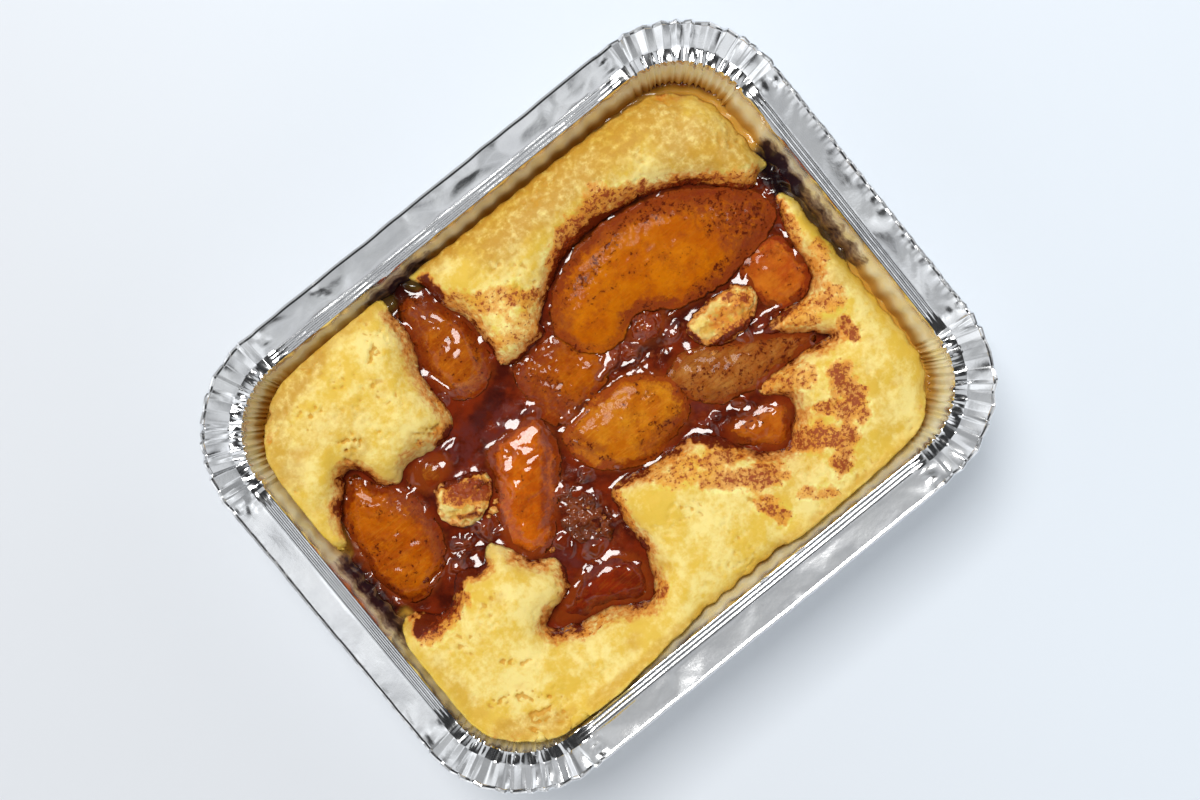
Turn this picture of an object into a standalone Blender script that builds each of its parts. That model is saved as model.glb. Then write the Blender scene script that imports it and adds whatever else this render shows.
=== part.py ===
# Peach cobbler baked in its own oblong foil tray with a crimped rim.
#
# Sizes are in millimetres and become metres when a mesh is made. +X runs along the
# tray's long side and +Z is up. The origin is the centre of the tray's flat underside.
# The food lies in the tray as loose pieces: three pieces of pastry round an opening
# full of peach slices, and under them the peach syrup that fills the tray.

import math

import bpy
import numpy as np
from mathutils import Vector, noise
from mathutils.geometry import delaunay_2d_cdt

MM = 0.001

# Foil tray
RIM_LENGTH = 145.0
RIM_WIDTH = 114.8
RIM_CORNER = 25.0
TRAY_HEIGHT = 42.0
FOIL = 0.7
FLANGE = 5.4
FLANGE_RISE = 3.2
LEDGE = 2.6
WALL_LEAN = 10.5
BASE_CURVE = 3.0
ROLL = 0.6
LONG_FLUTES = 20
SHORT_FLUTES = 14
CORNER_PLEATS = 10
FLUTE_DEPTH = 0.45
PLEAT_DEPTH = 0.7
PLEAT_RISE = 0.5
BEND_ROUND = 0.4
BEND_FLUTES = 0.3
LEDGE_PLEATS = 0.3
EDGE_PLEATS = 0.4

LEDGE_Z = TRAY_HEIGHT - FLANGE_RISE
MOUTH_INSET = FLANGE + LEDGE
BASE_INSET = MOUTH_INSET + WALL_LEAN

# Food
GAP = 0.4
WALL_GAP = 1.0
CORNER_GAP = 3.5
PAST_WALL = 1.6
SYRUP_LEVEL = 28.0
PEACH_DEPTH = 7.0

# Pastry: its torn edges lie just above the syrup, and its other edges climb the wall, more
# on the long sides and towards -X and -Y
CRUST_TORN_EDGE = 28.9
CRUST_WALL_EDGE = 30.3
CRUST_CLIMB_X = -0.029
CRUST_CLIMB_Y = -0.030
CRUST_LONG_SIDES = 3.0
CRUST_CROWN = 36.3
CRUST_CROWN_CLIMB = 0.25
CRUST_BOTTOM = 25.5
CRUST_EDGE_ROUND = 7.5
CRUST_EDGE_BLEND = (2.0, 12.0)
CRUST_GRAIN = 0.35
CRUST_GRAIN_SIZES = (9.0, 4.0)
SCALLOP_DEPTH = 0.5

# The outlines below are as seen from straight over the tray, from VIEW_HEIGHT above the
# place VIEW_FOOT, and measured on the level OUTLINE_Z. What lies lower is a little farther out.
VIEW_FOOT = (0.7, 16.7)
VIEW_HEIGHT = 371.3
OUTLINE_Z = 37.0

# Torn edges of the pastry, from where each leaves the tray's wall to where it meets it again
TORN_LEFT = [(-60.2, 8.2), (-58.8, 8.4), (-58.3, 11.5), (-56.2, 16.2), (-52.4, 20.6),
             (-49.3, 23.0), (-47.6, 21.4), (-46.0, 17.6), (-43.6, 14.6), (-41.6, 14.5),
             (-39.6, 15.8), (-36.5, 16.2), (-31.4, 15.0), (-26.6, 16.6), (-24.8, 20.0),
             (-24.9, 25.0), (-24.0, 31.0), (-22.4, 33.4), (-21.2, 38.0), (-21.2, 42.0)]
TORN_TOP = [(-12.6, 43.4), (-12.4, 39.4), (-11.6, 35.6), (-10.0, 32.8), (-10.1, 25.0),
            (-10.2, 20.8), (-8.2, 18.8), (-3.0, 18.8), (1.6, 19.9), (1.8, 22.0),
            (4.4, 24.2), (9.8, 27.2), (14.0, 29.3), (20.0, 30.0), (26.0, 30.1),
            (32.0, 29.4), (38.0, 27.4), (44.0, 24.2), (48.0, 20.8), (50.6, 17.4),
            (53.6, 15.6), (56.4, 17.2)]
TORN_MAIN_RIGHT = [(58.2, 11.0), (56.4, 12.0), (54.9, 9.4), (53.2, 3.4), (52.5, -3.4),
                   (50.8, -7.4), (47.4, -8.7), (42.0, -7.9), (36.0, -9.2), (39.4, -11.6),
                   (43.4, -14.6), (47.0, -18.6), (41.0, -17.4), (31.0, -17.2)]
TORN_MAIN_MIDDLE = [(27.6, -18.2), (31.0, -21.4), (32.2, -24.2), (29.6, -27.8), (25.2, -31.0),
                    (21.2, -28.6), (17.4, -24.4), (16.3, -20.8), (11.8, -16.4), (3.0, -16.2),
                    (-5.6, -14.5), (-9.0, -15.0), (-10.4, -18.0), (-11.2, -27.0), (-13.2, -33.6),
                    (-15.9, -37.2), (-18.2, -37.6), (-24.0, -34.0), (-32.0, -32.0)]
TORN_MAIN_LEFT = [(-37.6, -28.9), (-33.4, -26.7), (-28.9, -26.0), (-27.1, -22.0), (-27.2, -18.6),
                  (-31.4, -15.2), (-33.6, -10.0), (-36.0, -7.2), (-38.4, -8.4), (-40.0, -10.4),
                  (-42.2, -8.4), (-45.4, -7.8), (-48.6, -11.4), (-52.0, -12.4), (-55.4, -9.3),
                  (-57.8, -8.0), (-60.2, -9.4)]

# Pieces of pastry: the torn edge, and what the piece is called
CRUSTS = {
    "crust_left": TORN_LEFT,
    "crust_top": TORN_TOP,
    "crust_main": TORN_MAIN_RIGHT + TORN_MAIN_MIDDLE + TORN_MAIN_LEFT,
}

# Peach slices: outline, how far the edge and the crown stand out of the syrup, and how
# far the crown drops from one end to the other along the given direction
PEACHES = {
    "peach_big": {
        "outline": [(53.4, 11.0), (52.2, 14.8), (46.0, 20.6), (39.0, 24.9), (30.0, 27.8),
                    (20.0, 28.3), (12.0, 26.2), (5.8, 21.8), (3.8, 17.0), (5.4, 12.2),
                    (9.4, 9.2), (13.2, 9.6), (17.6, 12.0), (22.0, 9.8), (27.0, 7.0),
                    (36.0, 5.2), (46.0, 6.6), (51.6, 8.0)],
        "edge": 1.2, "crown": 5.0, "fall": (0.8, 0.0)},
    "peach_upper": {
        "outline": [(-16.6, 42.4), (-13.4, 38.0), (-11.4, 32.0), (-11.4, 26.0), (-12.8, 22.0),
                    (-16.0, 19.8), (-20.4, 20.4), (-22.6, 25.0), (-22.0, 30.0), (-20.4, 35.0),
                    (-19.6, 40.6)],
        "edge": 0.6, "crown": 4.0, "fall": (0.0, -0.6)},
    "peach_inner": {
        "outline": [(-8.0, 16.2), (-2.0, 17.0), (2.0, 15.9), (3.8, 12.0), (7.2, 7.9),
                    (2.4, 4.9), (-5.0, 2.9), (-8.6, 4.4), (-9.2, 11.0)],
        "edge": 0.5, "crown": 3.0, "fall": (0.6, 0.6)},
    "peach_oval": {
        "outline": [(-9.6, -0.8), (-5.0, 1.4), (3.0, 2.0), (9.6, 0.4), (14.2, -3.4),
                    (15.0, -8.0), (13.0, -12.0), (5.0, -14.3), (-2.4, -13.0), (-8.4, -7.6)],
        "edge": 0.6, "crown": 4.2, "fall": (0.0, -0.8)},
    "peach_long": {
        "outline": [(16.0, -4.2), (20.0, -3.0), (25.2, -4.7), (32.0, -8.6), (39.6, -13.0),
                    (43.8, -16.3), (36.0, -16.2), (28.0, -16.2), (20.6, -14.0), (16.6, -9.4)],
        "edge": 0.6, "crown": 3.8, "fall": (0.8, -0.6)},
    "peach_small": {
        "outline": [(18.8, -20.8), (23.0, -21.4), (29.8, -22.8), (30.2, -24.8), (25.2, -29.6),
                    (21.6, -26.8), (18.8, -23.2)],
        "edge": 0.5, "crown": 2.8, "fall": (0.0, 0.6)},
    "peach_red": {
        "outline": [(41.4, 2.8), (45.0, 5.0), (50.0, 4.6), (51.5, 0.6), (51.0, -4.0),
                    (48.8, -7.0), (45.0, -7.0), (41.8, -4.4)],
        "edge": 0.8, "crown": 3.0, "fall": (0.6, 0.0)},
    "peach_far": {
        "outline": [(-49.4, 20.6), (-47.2, 16.0), (-43.4, 11.8), (-42.6, 6.0), (-44.0, -1.0),
                    (-48.4, -5.4), (-53.6, -6.5), (-57.2, -4.4), (-58.6, 1.0), (-57.9, 7.4),
                    (-55.4, 14.4), (-52.0, 18.8)],
        "edge": 0.6, "crown": 4.6, "fall": (-0.6, 0.0)},
    "peach_centre": {
        "outline": [(-23.8, 6.4), (-18.0, 7.3), (-12.6, 6.4), (-12.4, 1.6), (-15.6, -3.8),
                    (-23.6, -12.4), (-27.6, -15.3), (-30.4, -14.2), (-31.8, -10.0), (-29.8, -4.2),
                    (-25.2, 2.0)],
        "edge": 0.6, "crown": 4.0, "fall": (0.4, 0.6)},
    "peach_lower": {
        "outline": [(-32.4, -27.9), (-25.0, -25.5), (-19.0, -25.5), (-14.6, -28.8), (-14.4, -32.6),
                    (-17.2, -36.3), (-24.0, -32.6), (-31.0, -30.6), (-35.4, -29.0)],
        "edge": 0.4, "crown": 3.0, "fall": (0.6, 0.0)},
    "peach_bit_left": {
        "outline": [(-38.8, 13.9), (-35.6, 14.4), (-32.6, 13.0), (-33.0, 10.4), (-37.0, 9.9),
                    (-39.8, 11.6)],
        "edge": 0.4, "crown": 1.4, "fall": (0.0, 0.0)},
    "peach_bit_middle": {
        "outline": [(15.2, 6.6), (15.8, 9.4), (18.2, 10.5), (20.8, 9.0), (21.2, 6.4), (18.0, 4.2)],
        "edge": 0.4, "crown": 3.4, "fall": (0.0, 0.0)},
}

# Lumps of pastry that lie in the syrup: outline, how far the edge and the crown stand out
CRUMBS = {
    "crumb_left": {
        "outline": [(-36.4, 8.2), (-31.0, 7.0), (-27.3, 4.4), (-29.2, 0.8), (-34.6, -2.0),
                    (-38.8, 0.2), (-39.8, 4.6)],
        "edge": 1.2, "crown": 3.6, "fall": (0.0, 0.0)},
    "crumb_right": {
        "outline": [(24.5, 1.6), (28.0, 2.9), (36.0, 2.9), (39.8, 1.2), (39.8, -2.6),
                    (35.0, -6.1), (29.4, -5.8), (25.4, -3.0)],
        "edge": 1.2, "crown": 3.8, "fall": (0.0, 0.0)},
    "crumb_soaked": {
        "outline": [(-19.5, -11.0), (-16.0, -9.6), (-12.8, -12.2), (-12.8, -18.6), (-15.4, -22.0),
                    (-18.8, -21.2), (-21.2, -15.6)],
        "edge": 0.4, "crown": 1.8, "fall": (0.0, 0.0)},
}
CRUMB_DEPTH = 3.4
CRUMB_GRAIN = 0.5
CRUMB_GRAIN_SIZE = 3.0
STAINED = ("peach_lower", "peach_red", "peach_bit_middle", "crumb_soaked")

# Syrup: how far it keeps from the wall at the floor, above the bend and at its level
SYRUP_FLOOR_GAP = 3.9
SYRUP_BEND_GAP = 0.65
SYRUP_LEVEL_GAP = 0.5

# Mesh spacing
CURVE_STEPS = 12
CRUST_SPACING = 3.4
CRUST_RING_SPACING = 2.45
PEACH_SPACING = 2.6
CRUMB_SPACING = 2.0
LUMP_RING_SHARE = 0.85
SYRUP_SPACING = 3.6
WALL_SPACING = 2.0
UNDERSIDE_SPACING = 6.0
INNER_RING_SHARE = 0.35
LEAST_INNER_RING = 0.5
LATTICE_CLEAR = 0.55
RING_CLEAR = 0.4
SMOOTH_ANGLE = math.radians(35.0)


def clear_scene():
    for old in list(bpy.data.objects):
        bpy.data.objects.remove(old, do_unlink=True)


def material(name, colour, roughness, metallic=0.0):
    made = bpy.data.materials.new(name)
    made.use_nodes = True
    shader = made.node_tree.nodes["Principled BSDF"]
    shader.inputs["Base Color"].default_value = (*colour, 1.0)
    shader.inputs["Roughness"].default_value = roughness
    shader.inputs["Metallic"].default_value = metallic
    return made


def new_object(name, points, faces, finish=None):
    # points are in millimetres
    mesh = bpy.data.meshes.new(name)
    mesh.from_pydata([Vector(point) * MM for point in points], [], faces)
    mesh.shade_smooth()
    mesh.set_sharp_from_angle(angle=SMOOTH_ANGLE)
    if finish:
        mesh.materials.append(finish)
    made = bpy.data.objects.new(name, mesh)
    bpy.context.scene.collection.objects.link(made)
    return made


# Outlines

def smooth_outline(points, spacing, closed=True):
    # A Catmull-Rom curve through the points, with a point every spacing along it
    points = np.array(points, dtype=float)
    count = len(points)
    curve = []
    for index in range(count if closed else count - 1):
        if closed:
            before, start, end, after = (points[(index + step) % count] for step in (-1, 0, 1, 2))
        else:
            start, end = points[index], points[index + 1]
            before = points[max(index - 1, 0)]
            after = points[min(index + 2, count - 1)]
        for step in range(CURVE_STEPS):
            t = step / CURVE_STEPS
            curve.append(0.5 * (2 * start + (end - before) * t
                                + (2 * before - 5 * start + 4 * end - after) * t ** 2
                                + (3 * start - before - 3 * end + after) * t ** 3))
    if not closed:
        curve.append(points[-1])
    return spread_evenly(np.array(curve), spacing, closed)


def at_height(points, z):
    # Where the measured points really are when they lie at the height z
    foot = np.array(VIEW_FOOT)
    return foot + (np.array(points) - foot) * (VIEW_HEIGHT - z) / (VIEW_HEIGHT - OUTLINE_Z)


def spread_evenly(curve, spacing, closed=True):
    if closed:
        curve = np.vstack([curve, curve[:1]])
    lengths = np.linalg.norm(np.diff(curve, axis=0), axis=1)
    travelled = np.concatenate([[0.0], np.cumsum(lengths)])
    steps = max(int(round(travelled[-1] / spacing)), 3)
    wanted = np.linspace(0.0, travelled[-1], steps + 1)
    if closed:
        wanted = wanted[:-1]
    return np.column_stack([np.interp(wanted, travelled, curve[:, axis]) for axis in (0, 1)])


def grown(outline, amount):
    # The outline moved outwards by amount; outlines run anticlockwise
    ahead = np.roll(outline, -1, axis=0)
    behind = np.roll(outline, 1, axis=0)
    along = ahead - behind
    along /= np.linalg.norm(along, axis=1)[:, None]
    outward = np.column_stack([along[:, 1], -along[:, 0]])
    return outline + outward * amount


def anticlockwise(outline):
    x, y = outline[:, 0], outline[:, 1]
    area = np.sum(x * np.roll(y, -1) - np.roll(x, -1) * y)
    return outline if area > 0 else outline[::-1]


def edge_distance(points, outline):
    start = outline
    along = np.roll(outline, -1, axis=0) - start
    squared = np.sum(along ** 2, axis=1)
    nearest = np.full(len(points), 1e9)
    for origin, step, length in zip(start, along, squared):
        t = np.clip((points - origin) @ step / length, 0.0, 1.0)
        away = np.linalg.norm(points - origin - t[:, None] * step, axis=1)
        nearest = np.minimum(nearest, away)
    return nearest


def is_inside(points, outline):
    inside = np.zeros(len(points), dtype=bool)
    x, y = points[:, 0], points[:, 1]
    for (x1, y1), (x2, y2) in zip(outline, np.roll(outline, -1, axis=0)):
        crosses = (y1 > y) != (y2 > y)
        reach = x1 + (y - y1) * (x2 - x1) / (y2 - y1 if y2 != y1 else 1e-9)
        inside ^= crosses & (x < reach)
    return inside


def points_within(outline, spacing):
    # A triangular lattice inside the outline, kept about half a spacing away from it
    low = outline.min(axis=0)
    high = outline.max(axis=0)
    row_height = spacing * math.sqrt(3) / 2
    lattice = []
    for row in range(math.floor(low[1] / row_height), math.ceil(high[1] / row_height) + 1):
        offset = spacing / 2 if row % 2 else 0.0
        for column in range(math.floor(low[0] / spacing) - 1, math.ceil(high[0] / spacing) + 1):
            lattice.append((column * spacing + offset, row * row_height))
    lattice = np.array(lattice)
    kept = is_inside(lattice, outline) & (edge_distance(lattice, outline) > spacing * LATTICE_CLEAR)
    return lattice[kept]


def triangles_within(outline, inner):
    # Triangles over the outline and the points inside it, all anticlockwise
    points = np.vstack([outline, inner]) if len(inner) else outline
    ring = list(range(len(outline)))
    made = delaunay_2d_cdt([Vector(point) for point in points], [], [ring], 1, 1e-6)
    names = [original[0] for original in made[3]]
    return [tuple(names[corner] for corner in face) for face in made[2]]


# Solids

def slab(name, outline, edge, top, bottom, spacing, finish=None):
    # A closed lens: one ring at the outline, a crowned face over it and a face under it.
    # edge, top and bottom give heights from x, y and the distance to the outline.
    ring_width = max(spacing * INNER_RING_SHARE, LEAST_INNER_RING)
    inner_ring = grown(outline, -ring_width)
    clear = edge_distance(inner_ring, outline) > ring_width * (1.0 - RING_CLEAR / 2)
    inner_ring = inner_ring[is_inside(inner_ring, outline) & clear]
    lattice = points_within(outline, spacing)
    lattice = lattice[edge_distance(lattice, outline) > ring_width + spacing * RING_CLEAR]
    upper = np.vstack([inner_ring, lattice])
    lower = points_within(outline, UNDERSIDE_SPACING)
    if len(lower) == 0:
        lower = outline.mean(axis=0)[None, :]

    points = [(x, y, edge(x, y)) for x, y in outline]
    for (x, y), away in zip(upper, edge_distance(upper, outline)):
        points.append((x, y, top(x, y, away)))
    for (x, y), away in zip(lower, edge_distance(lower, outline)):
        points.append((x, y, bottom(x, y, away)))

    faces = triangles_within(outline, upper)
    around = len(outline)
    shift = len(upper)
    for face in triangles_within(outline, lower):
        corners = [corner if corner < around else corner + shift for corner in face]
        faces.append(tuple(reversed(corners)))
    made = new_object(name, points, faces, finish)
    made["outline_points"] = around
    made["upper_points"] = len(upper)
    return made


def bulge(away, reach):
    # Rises from 0 at the edge to 1 at reach, round like a quarter circle
    t = min(away / reach, 1.0)
    return math.sqrt(1.0 - (1.0 - t) ** 2)


def grain(x, y, size, seed):
    return noise.noise(Vector((x / size, y / size, seed)))


# Foil tray

def tray_stations():
    # Round the tray anticlockwise: a place on the core rectangle, the outward direction,
    # and 1 in the corners or 0 along the sides
    core_x = RIM_LENGTH / 2 - RIM_CORNER
    core_y = RIM_WIDTH / 2 - RIM_CORNER
    corners = [(core_x, core_y), (-core_x, core_y), (-core_x, -core_y), (core_x, -core_y)]
    flutes = [LONG_FLUTES, SHORT_FLUTES, LONG_FLUTES, SHORT_FLUTES]
    stations = []
    for number, corner in enumerate(corners):
        start = number * math.pi / 2
        turns = CORNER_PLEATS * 2
        for step in range(turns):
            angle = start + (step + 0.5) / turns * math.pi / 2
            stations.append((corner, (math.cos(angle), math.sin(angle)), 1.0))
        following = corners[(number + 1) % 4]
        steps = flutes[number] * 2
        outward = (math.cos(start + math.pi / 2), math.sin(start + math.pi / 2))
        for step in range(steps):
            t = (step + 0.5) / steps
            place = tuple(a + (b - a) * t for a, b in zip(corner, following))
            stations.append((place, outward, 0.0))
    return stations


def wall_inset(z):
    return MOUTH_INSET + (LEDGE_Z - z) * WALL_LEAN / LEDGE_Z


def tray_profile():
    # From the middle of the floor up the inside, over the rim and down the outside:
    # inset from the rim's edge, height, and how much the wall's flutes and the rim's pleats show
    bend = BASE_CURVE + FOIL
    wall_foot = bend * 2
    edge_z = TRAY_HEIGHT - ROLL
    under = LEDGE_Z - FOIL
    inside = [
        (BASE_INSET + BASE_CURVE, FOIL, 0.0, 0.0),
        (wall_inset(bend) + BEND_ROUND, bend * 0.6, BEND_FLUTES, 0.0),
        (wall_inset(wall_foot), wall_foot, 1.0, 0.0),
        (MOUTH_INSET, LEDGE_Z, 1.0, 0.0),
    ]
    rim = [
        (FLANGE, LEDGE_Z, 0.0, LEDGE_PLEATS),
        (ROLL * 1.5, edge_z, 0.0, 1.0),
        (ROLL * 0.7, TRAY_HEIGHT, 0.0, EDGE_PLEATS),
        (0.0, edge_z, 0.0, EDGE_PLEATS),
        (ROLL * 1.2, edge_z - ROLL * 1.3, 0.0, 1.0),
        (FLANGE + ROLL / 3, under, 0.0, LEDGE_PLEATS),
    ]
    outside = [
        (MOUTH_INSET - FOIL, under, 1.0, 0.0),
        (wall_inset(wall_foot) - FOIL, wall_foot, 1.0, 0.0),
        (wall_inset(bend) - BEND_ROUND / 2, bend * 0.35, BEND_FLUTES, 0.0),
        (BASE_INSET + BASE_CURVE * 0.6, 0.0, 0.0, 0.0),
    ]
    return inside + rim + outside


def foil_tray(finish):
    stations = tray_stations()
    around = len(stations)
    points = []
    for inset, z, flute, pleat in tray_profile():
        for number, (place, outward, corner) in enumerate(stations):
            fold = number % 2
            depth = PLEAT_DEPTH if corner else FLUTE_DEPTH
            out = RIM_CORNER - inset + depth * flute * fold
            out -= PLEAT_DEPTH * 0.5 * pleat * corner * fold
            rise = PLEAT_RISE * pleat * corner * fold
            points.append((place[0] + outward[0] * out, place[1] + outward[1] * out, z - rise))
    faces = [tuple(range(around - 1, -1, -1))]
    rings = len(points) // around
    for ring in range(rings - 1):
        for number in range(around):
            following = (number + 1) % around
            a = ring * around + number
            b = ring * around + following
            faces.append((a, b, b + around, a + around))
    faces.append(tuple(range((rings - 1) * around, rings * around)))
    faces = [tuple(reversed(face)) for face in faces]
    return new_object("foil_tray", points, faces, finish)


def wall_outline(height, inset, spacing):
    # The inside of the wall at a height, moved in by inset; both may be functions of x and y
    core_x = RIM_LENGTH / 2 - RIM_CORNER
    core_y = RIM_WIDTH / 2 - RIM_CORNER
    corners = [(core_x, core_y), (-core_x, core_y), (-core_x, -core_y), (core_x, -core_y)]
    curve = []
    for number, (x, y) in enumerate(corners):
        following = corners[(number + 1) % 4]
        turns = [(x, y, number + step / CURVE_STEPS) for step in range(CURVE_STEPS + 1)]
        side = []
        for step in range(1, CURVE_STEPS):
            t = step / CURVE_STEPS
            side.append((x + (following[0] - x) * t, y + (following[1] - y) * t, number + 1))
        for place_x, place_y, quarter in turns + side:
            angle = quarter * math.pi / 2
            out_x, out_y = math.cos(angle), math.sin(angle)
            radius = RIM_CORNER - MOUTH_INSET
            at = (place_x + out_x * radius, place_y + out_y * radius)
            z = height(*at) if callable(height) else height
            radius = RIM_CORNER - wall_inset(z) - (inset(*at) if callable(inset) else inset)
            curve.append((place_x + out_x * radius, place_y + out_y * radius))
    return spread_evenly(np.array(curve), spacing)


# Pastry

def climb(x, y):
    # How high the pastry's edge sits where it lies against the wall
    side = (y / (RIM_WIDTH / 2 - MOUTH_INSET)) ** 2
    slope = CRUST_CLIMB_X * x + CRUST_CLIMB_Y * y
    return CRUST_WALL_EDGE + slope + CRUST_LONG_SIDES * min(side, 1.0)


def pastry_gap(x, y):
    # The pastry shrinks away from the wall, most in the corners
    corner = abs(x * y) / ((RIM_LENGTH / 2 - MOUTH_INSET) * (RIM_WIDTH / 2 - MOUTH_INSET))
    return WALL_GAP + CORNER_GAP * corner ** 4


def crust_outline(torn, spacing):
    # Along the torn edge, then back round by the tray's wall
    ragged = smooth_outline(at_height(torn, CRUST_TORN_EDGE), spacing, closed=False)
    wall = wall_outline(climb, pastry_gap, spacing)
    first = int(np.argmin(np.linalg.norm(wall - ragged[-1], axis=1)))
    last = int(np.argmin(np.linalg.norm(wall - ragged[0], axis=1)))
    count = (last - first) % len(wall)
    run = wall[[(first + step) % len(wall) for step in range(count + 1)]]
    joined = np.vstack([ragged, scalloped(run)])
    kept = [joined[0]]
    for point in joined[1:]:
        if np.linalg.norm(point - kept[-1]) > spacing * 0.5:
            kept.append(point)
    if np.linalg.norm(kept[-1] - kept[0]) < spacing * 0.5:
        kept.pop()
    return anticlockwise(np.array(kept))


def scalloped(run):
    # The pastry set against the fluted wall: every other point pulled in
    moved = run.copy()
    for number in range(2, len(run) - 2, 2):
        moved[number] -= run[number] / np.linalg.norm(run[number]) * SCALLOP_DEPTH
    return moved


def crust(name, torn_edge, finish):
    outline = crust_outline(torn_edge, CRUST_RING_SPACING)
    wall = wall_outline(climb, 0.0, WALL_SPACING * 2)

    def edge(x, y):
        # Climbs by the wall, and lies just above the syrup where the pastry is torn
        near, far = CRUST_EDGE_BLEND
        away = edge_distance(np.array([(x, y)]), wall)[0]
        torn = min(max((away - near) / (far - near), 0.0), 1.0)
        return climb(x, y) * (1.0 - torn) + CRUST_TORN_EDGE * torn

    def top(x, y, away):
        relief = CRUST_GRAIN * sum(grain(x, y, size, 10.0 / size) for size in CRUST_GRAIN_SIZES)
        crown = CRUST_CROWN + CRUST_CROWN_CLIMB * (climb(x, y) - CRUST_WALL_EDGE)
        low = edge(x, y)
        return low + (crown - low) * bulge(away, CRUST_EDGE_ROUND) + relief * min(away, 1.0)

    def bottom(x, y, away):
        low = edge(x, y)
        return low - (low - CRUST_BOTTOM) * bulge(away, CRUST_EDGE_ROUND)

    return slab(name, outline, edge, top, bottom, CRUST_SPACING, finish)


# Peach slices and lumps of pastry

def lump(name, piece, depth, relief, spacing, finish):
    edge_z = SYRUP_LEVEL + piece["edge"]
    measured = at_height(piece["outline"], edge_z)
    outline = anticlockwise(smooth_outline(measured, spacing * LUMP_RING_SHARE))
    middle = outline.mean(axis=0)
    size = np.ptp(outline, axis=0) / 2
    reach = edge_distance(points_within(outline, spacing / 2), outline).max()

    def edge(x, y):
        return edge_z

    def top(x, y, away):
        rise = (piece["crown"] - piece["edge"]) * bulge(away, reach)
        fall = sum(piece["fall"][axis] * ((x, y)[axis] - middle[axis]) / size[axis]
                   for axis in (0, 1))
        rough = relief * grain(x, y, CRUMB_GRAIN_SIZE, 3.5)
        return edge_z + rise + (fall + rough) * bulge(away, reach)

    def bottom(x, y, away):
        return edge_z - depth * bulge(away, reach)

    return slab(name, outline, edge, top, bottom, spacing, finish)


# Syrup

def room_for(piece):
    # The hollow that a piece takes up in the syrup: the piece itself, grown sideways and
    # downwards by the gap, out through the tray's wall where it lies there, and open above
    around = piece["outline_points"]
    upper = around + piece["upper_points"]
    places = np.array([vertex.co for vertex in piece.data.vertices]) / MM
    outline = places[:around, :2]
    wall = wall_outline(SYRUP_LEVEL, 0.0, WALL_SPACING)
    by_wall = edge_distance(outline, wall) < WALL_GAP * 2
    reach = np.where(by_wall, PAST_WALL, GAP)
    places[:around, :2] = grown(outline, reach[:, None])
    places[:, 2] -= GAP
    places[around:upper, 2] = TRAY_HEIGHT
    room = piece.copy()
    room.name = "room_for_" + piece.name
    room.data = piece.data.copy()
    for vertex, place in zip(room.data.vertices, places):
        vertex.co = place * MM
    room.hide_render = True
    room.display_type = 'WIRE'
    return room


def syrup_block(finish):
    # Fills the tray from its floor up to the level that shows, clear of the wall
    levels = [(FOIL + GAP, SYRUP_FLOOR_GAP), (BASE_CURVE * 2, SYRUP_BEND_GAP),
              (SYRUP_LEVEL, SYRUP_LEVEL_GAP)]
    count = len(wall_outline(SYRUP_LEVEL, SYRUP_LEVEL_GAP, SYRUP_SPACING))
    points = []
    for z, inset in levels:
        ring = wall_outline(z, inset, SYRUP_SPACING)
        length = np.linalg.norm(ring - np.roll(ring, -1, axis=0), axis=1).sum()
        ring = wall_outline(z, inset, length / count)[:count]
        points += [(x, y, z) for x, y in ring]
    faces = [tuple(range(count - 1, -1, -1))]
    for ring in range(len(levels) - 1):
        for number in range(count):
            following = (number + 1) % count
            a = ring * count + number
            b = ring * count + following
            faces.append((a, b, b + count, a + count))
    top = (len(levels) - 1) * count
    faces.append(tuple(range(top, top + count)))
    return new_object("peach_syrup", points, faces, finish)


def syrup(pieces, finish):
    made = syrup_block(finish)
    cutters = bpy.data.collections.new("room_for_pieces")
    bpy.context.scene.collection.children.link(cutters)
    for piece in pieces:
        cutters.objects.link(room_for(piece))
    cut = made.modifiers.new("room for the pieces", 'BOOLEAN')
    cut.operation = 'DIFFERENCE'
    cut.operand_type = 'COLLECTION'
    cut.collection = cutters
    cut.solver = 'EXACT'
    return made


def build():
    clear_scene()
    foil = material("foil", (0.72, 0.73, 0.74), 0.28, 1.0)
    pastry = material("pastry", (0.86, 0.63, 0.17), 0.75)
    fruit = material("peach", (0.55, 0.17, 0.01), 0.3)
    stained = material("stained_peach", (0.30, 0.05, 0.01), 0.3)
    sauce = material("syrup", (0.12, 0.02, 0.008), 0.15)
    soaked = material("soaked_crumb", (0.22, 0.05, 0.01), 0.5)

    foil_tray(foil)
    pieces = []
    for name, torn in CRUSTS.items():
        pieces.append(crust(name, torn, pastry))
    for name, piece in PEACHES.items():
        finish = stained if name in STAINED else fruit
        pieces.append(lump(name, piece, PEACH_DEPTH, 0.0, PEACH_SPACING, finish))
    for name, piece in CRUMBS.items():
        finish = soaked if name in STAINED else pastry
        pieces.append(lump(name, piece, CRUMB_DEPTH, CRUMB_GRAIN, CRUMB_SPACING, finish))
    syrup(pieces, sauce)


build()
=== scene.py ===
import math

import bmesh
import bpy
import numpy as np
from mathutils import Matrix, Vector, noise
from mathutils.bvhtree import BVHTree
from mathutils.geometry import delaunay_2d_cdt
from mathutils.kdtree import KDTree


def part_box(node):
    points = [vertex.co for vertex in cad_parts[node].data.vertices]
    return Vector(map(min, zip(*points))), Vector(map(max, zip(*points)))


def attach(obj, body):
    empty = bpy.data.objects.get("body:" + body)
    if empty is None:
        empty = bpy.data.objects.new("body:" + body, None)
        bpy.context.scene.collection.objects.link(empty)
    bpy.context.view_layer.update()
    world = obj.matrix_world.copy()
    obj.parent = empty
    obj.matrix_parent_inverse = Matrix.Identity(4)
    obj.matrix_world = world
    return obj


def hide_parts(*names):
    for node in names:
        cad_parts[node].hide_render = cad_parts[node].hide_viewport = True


# Looks of a peach cobbler in its foil tray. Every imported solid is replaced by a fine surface
# of the same form, taken from the solid itself. Sizes are in millimetres.

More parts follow.
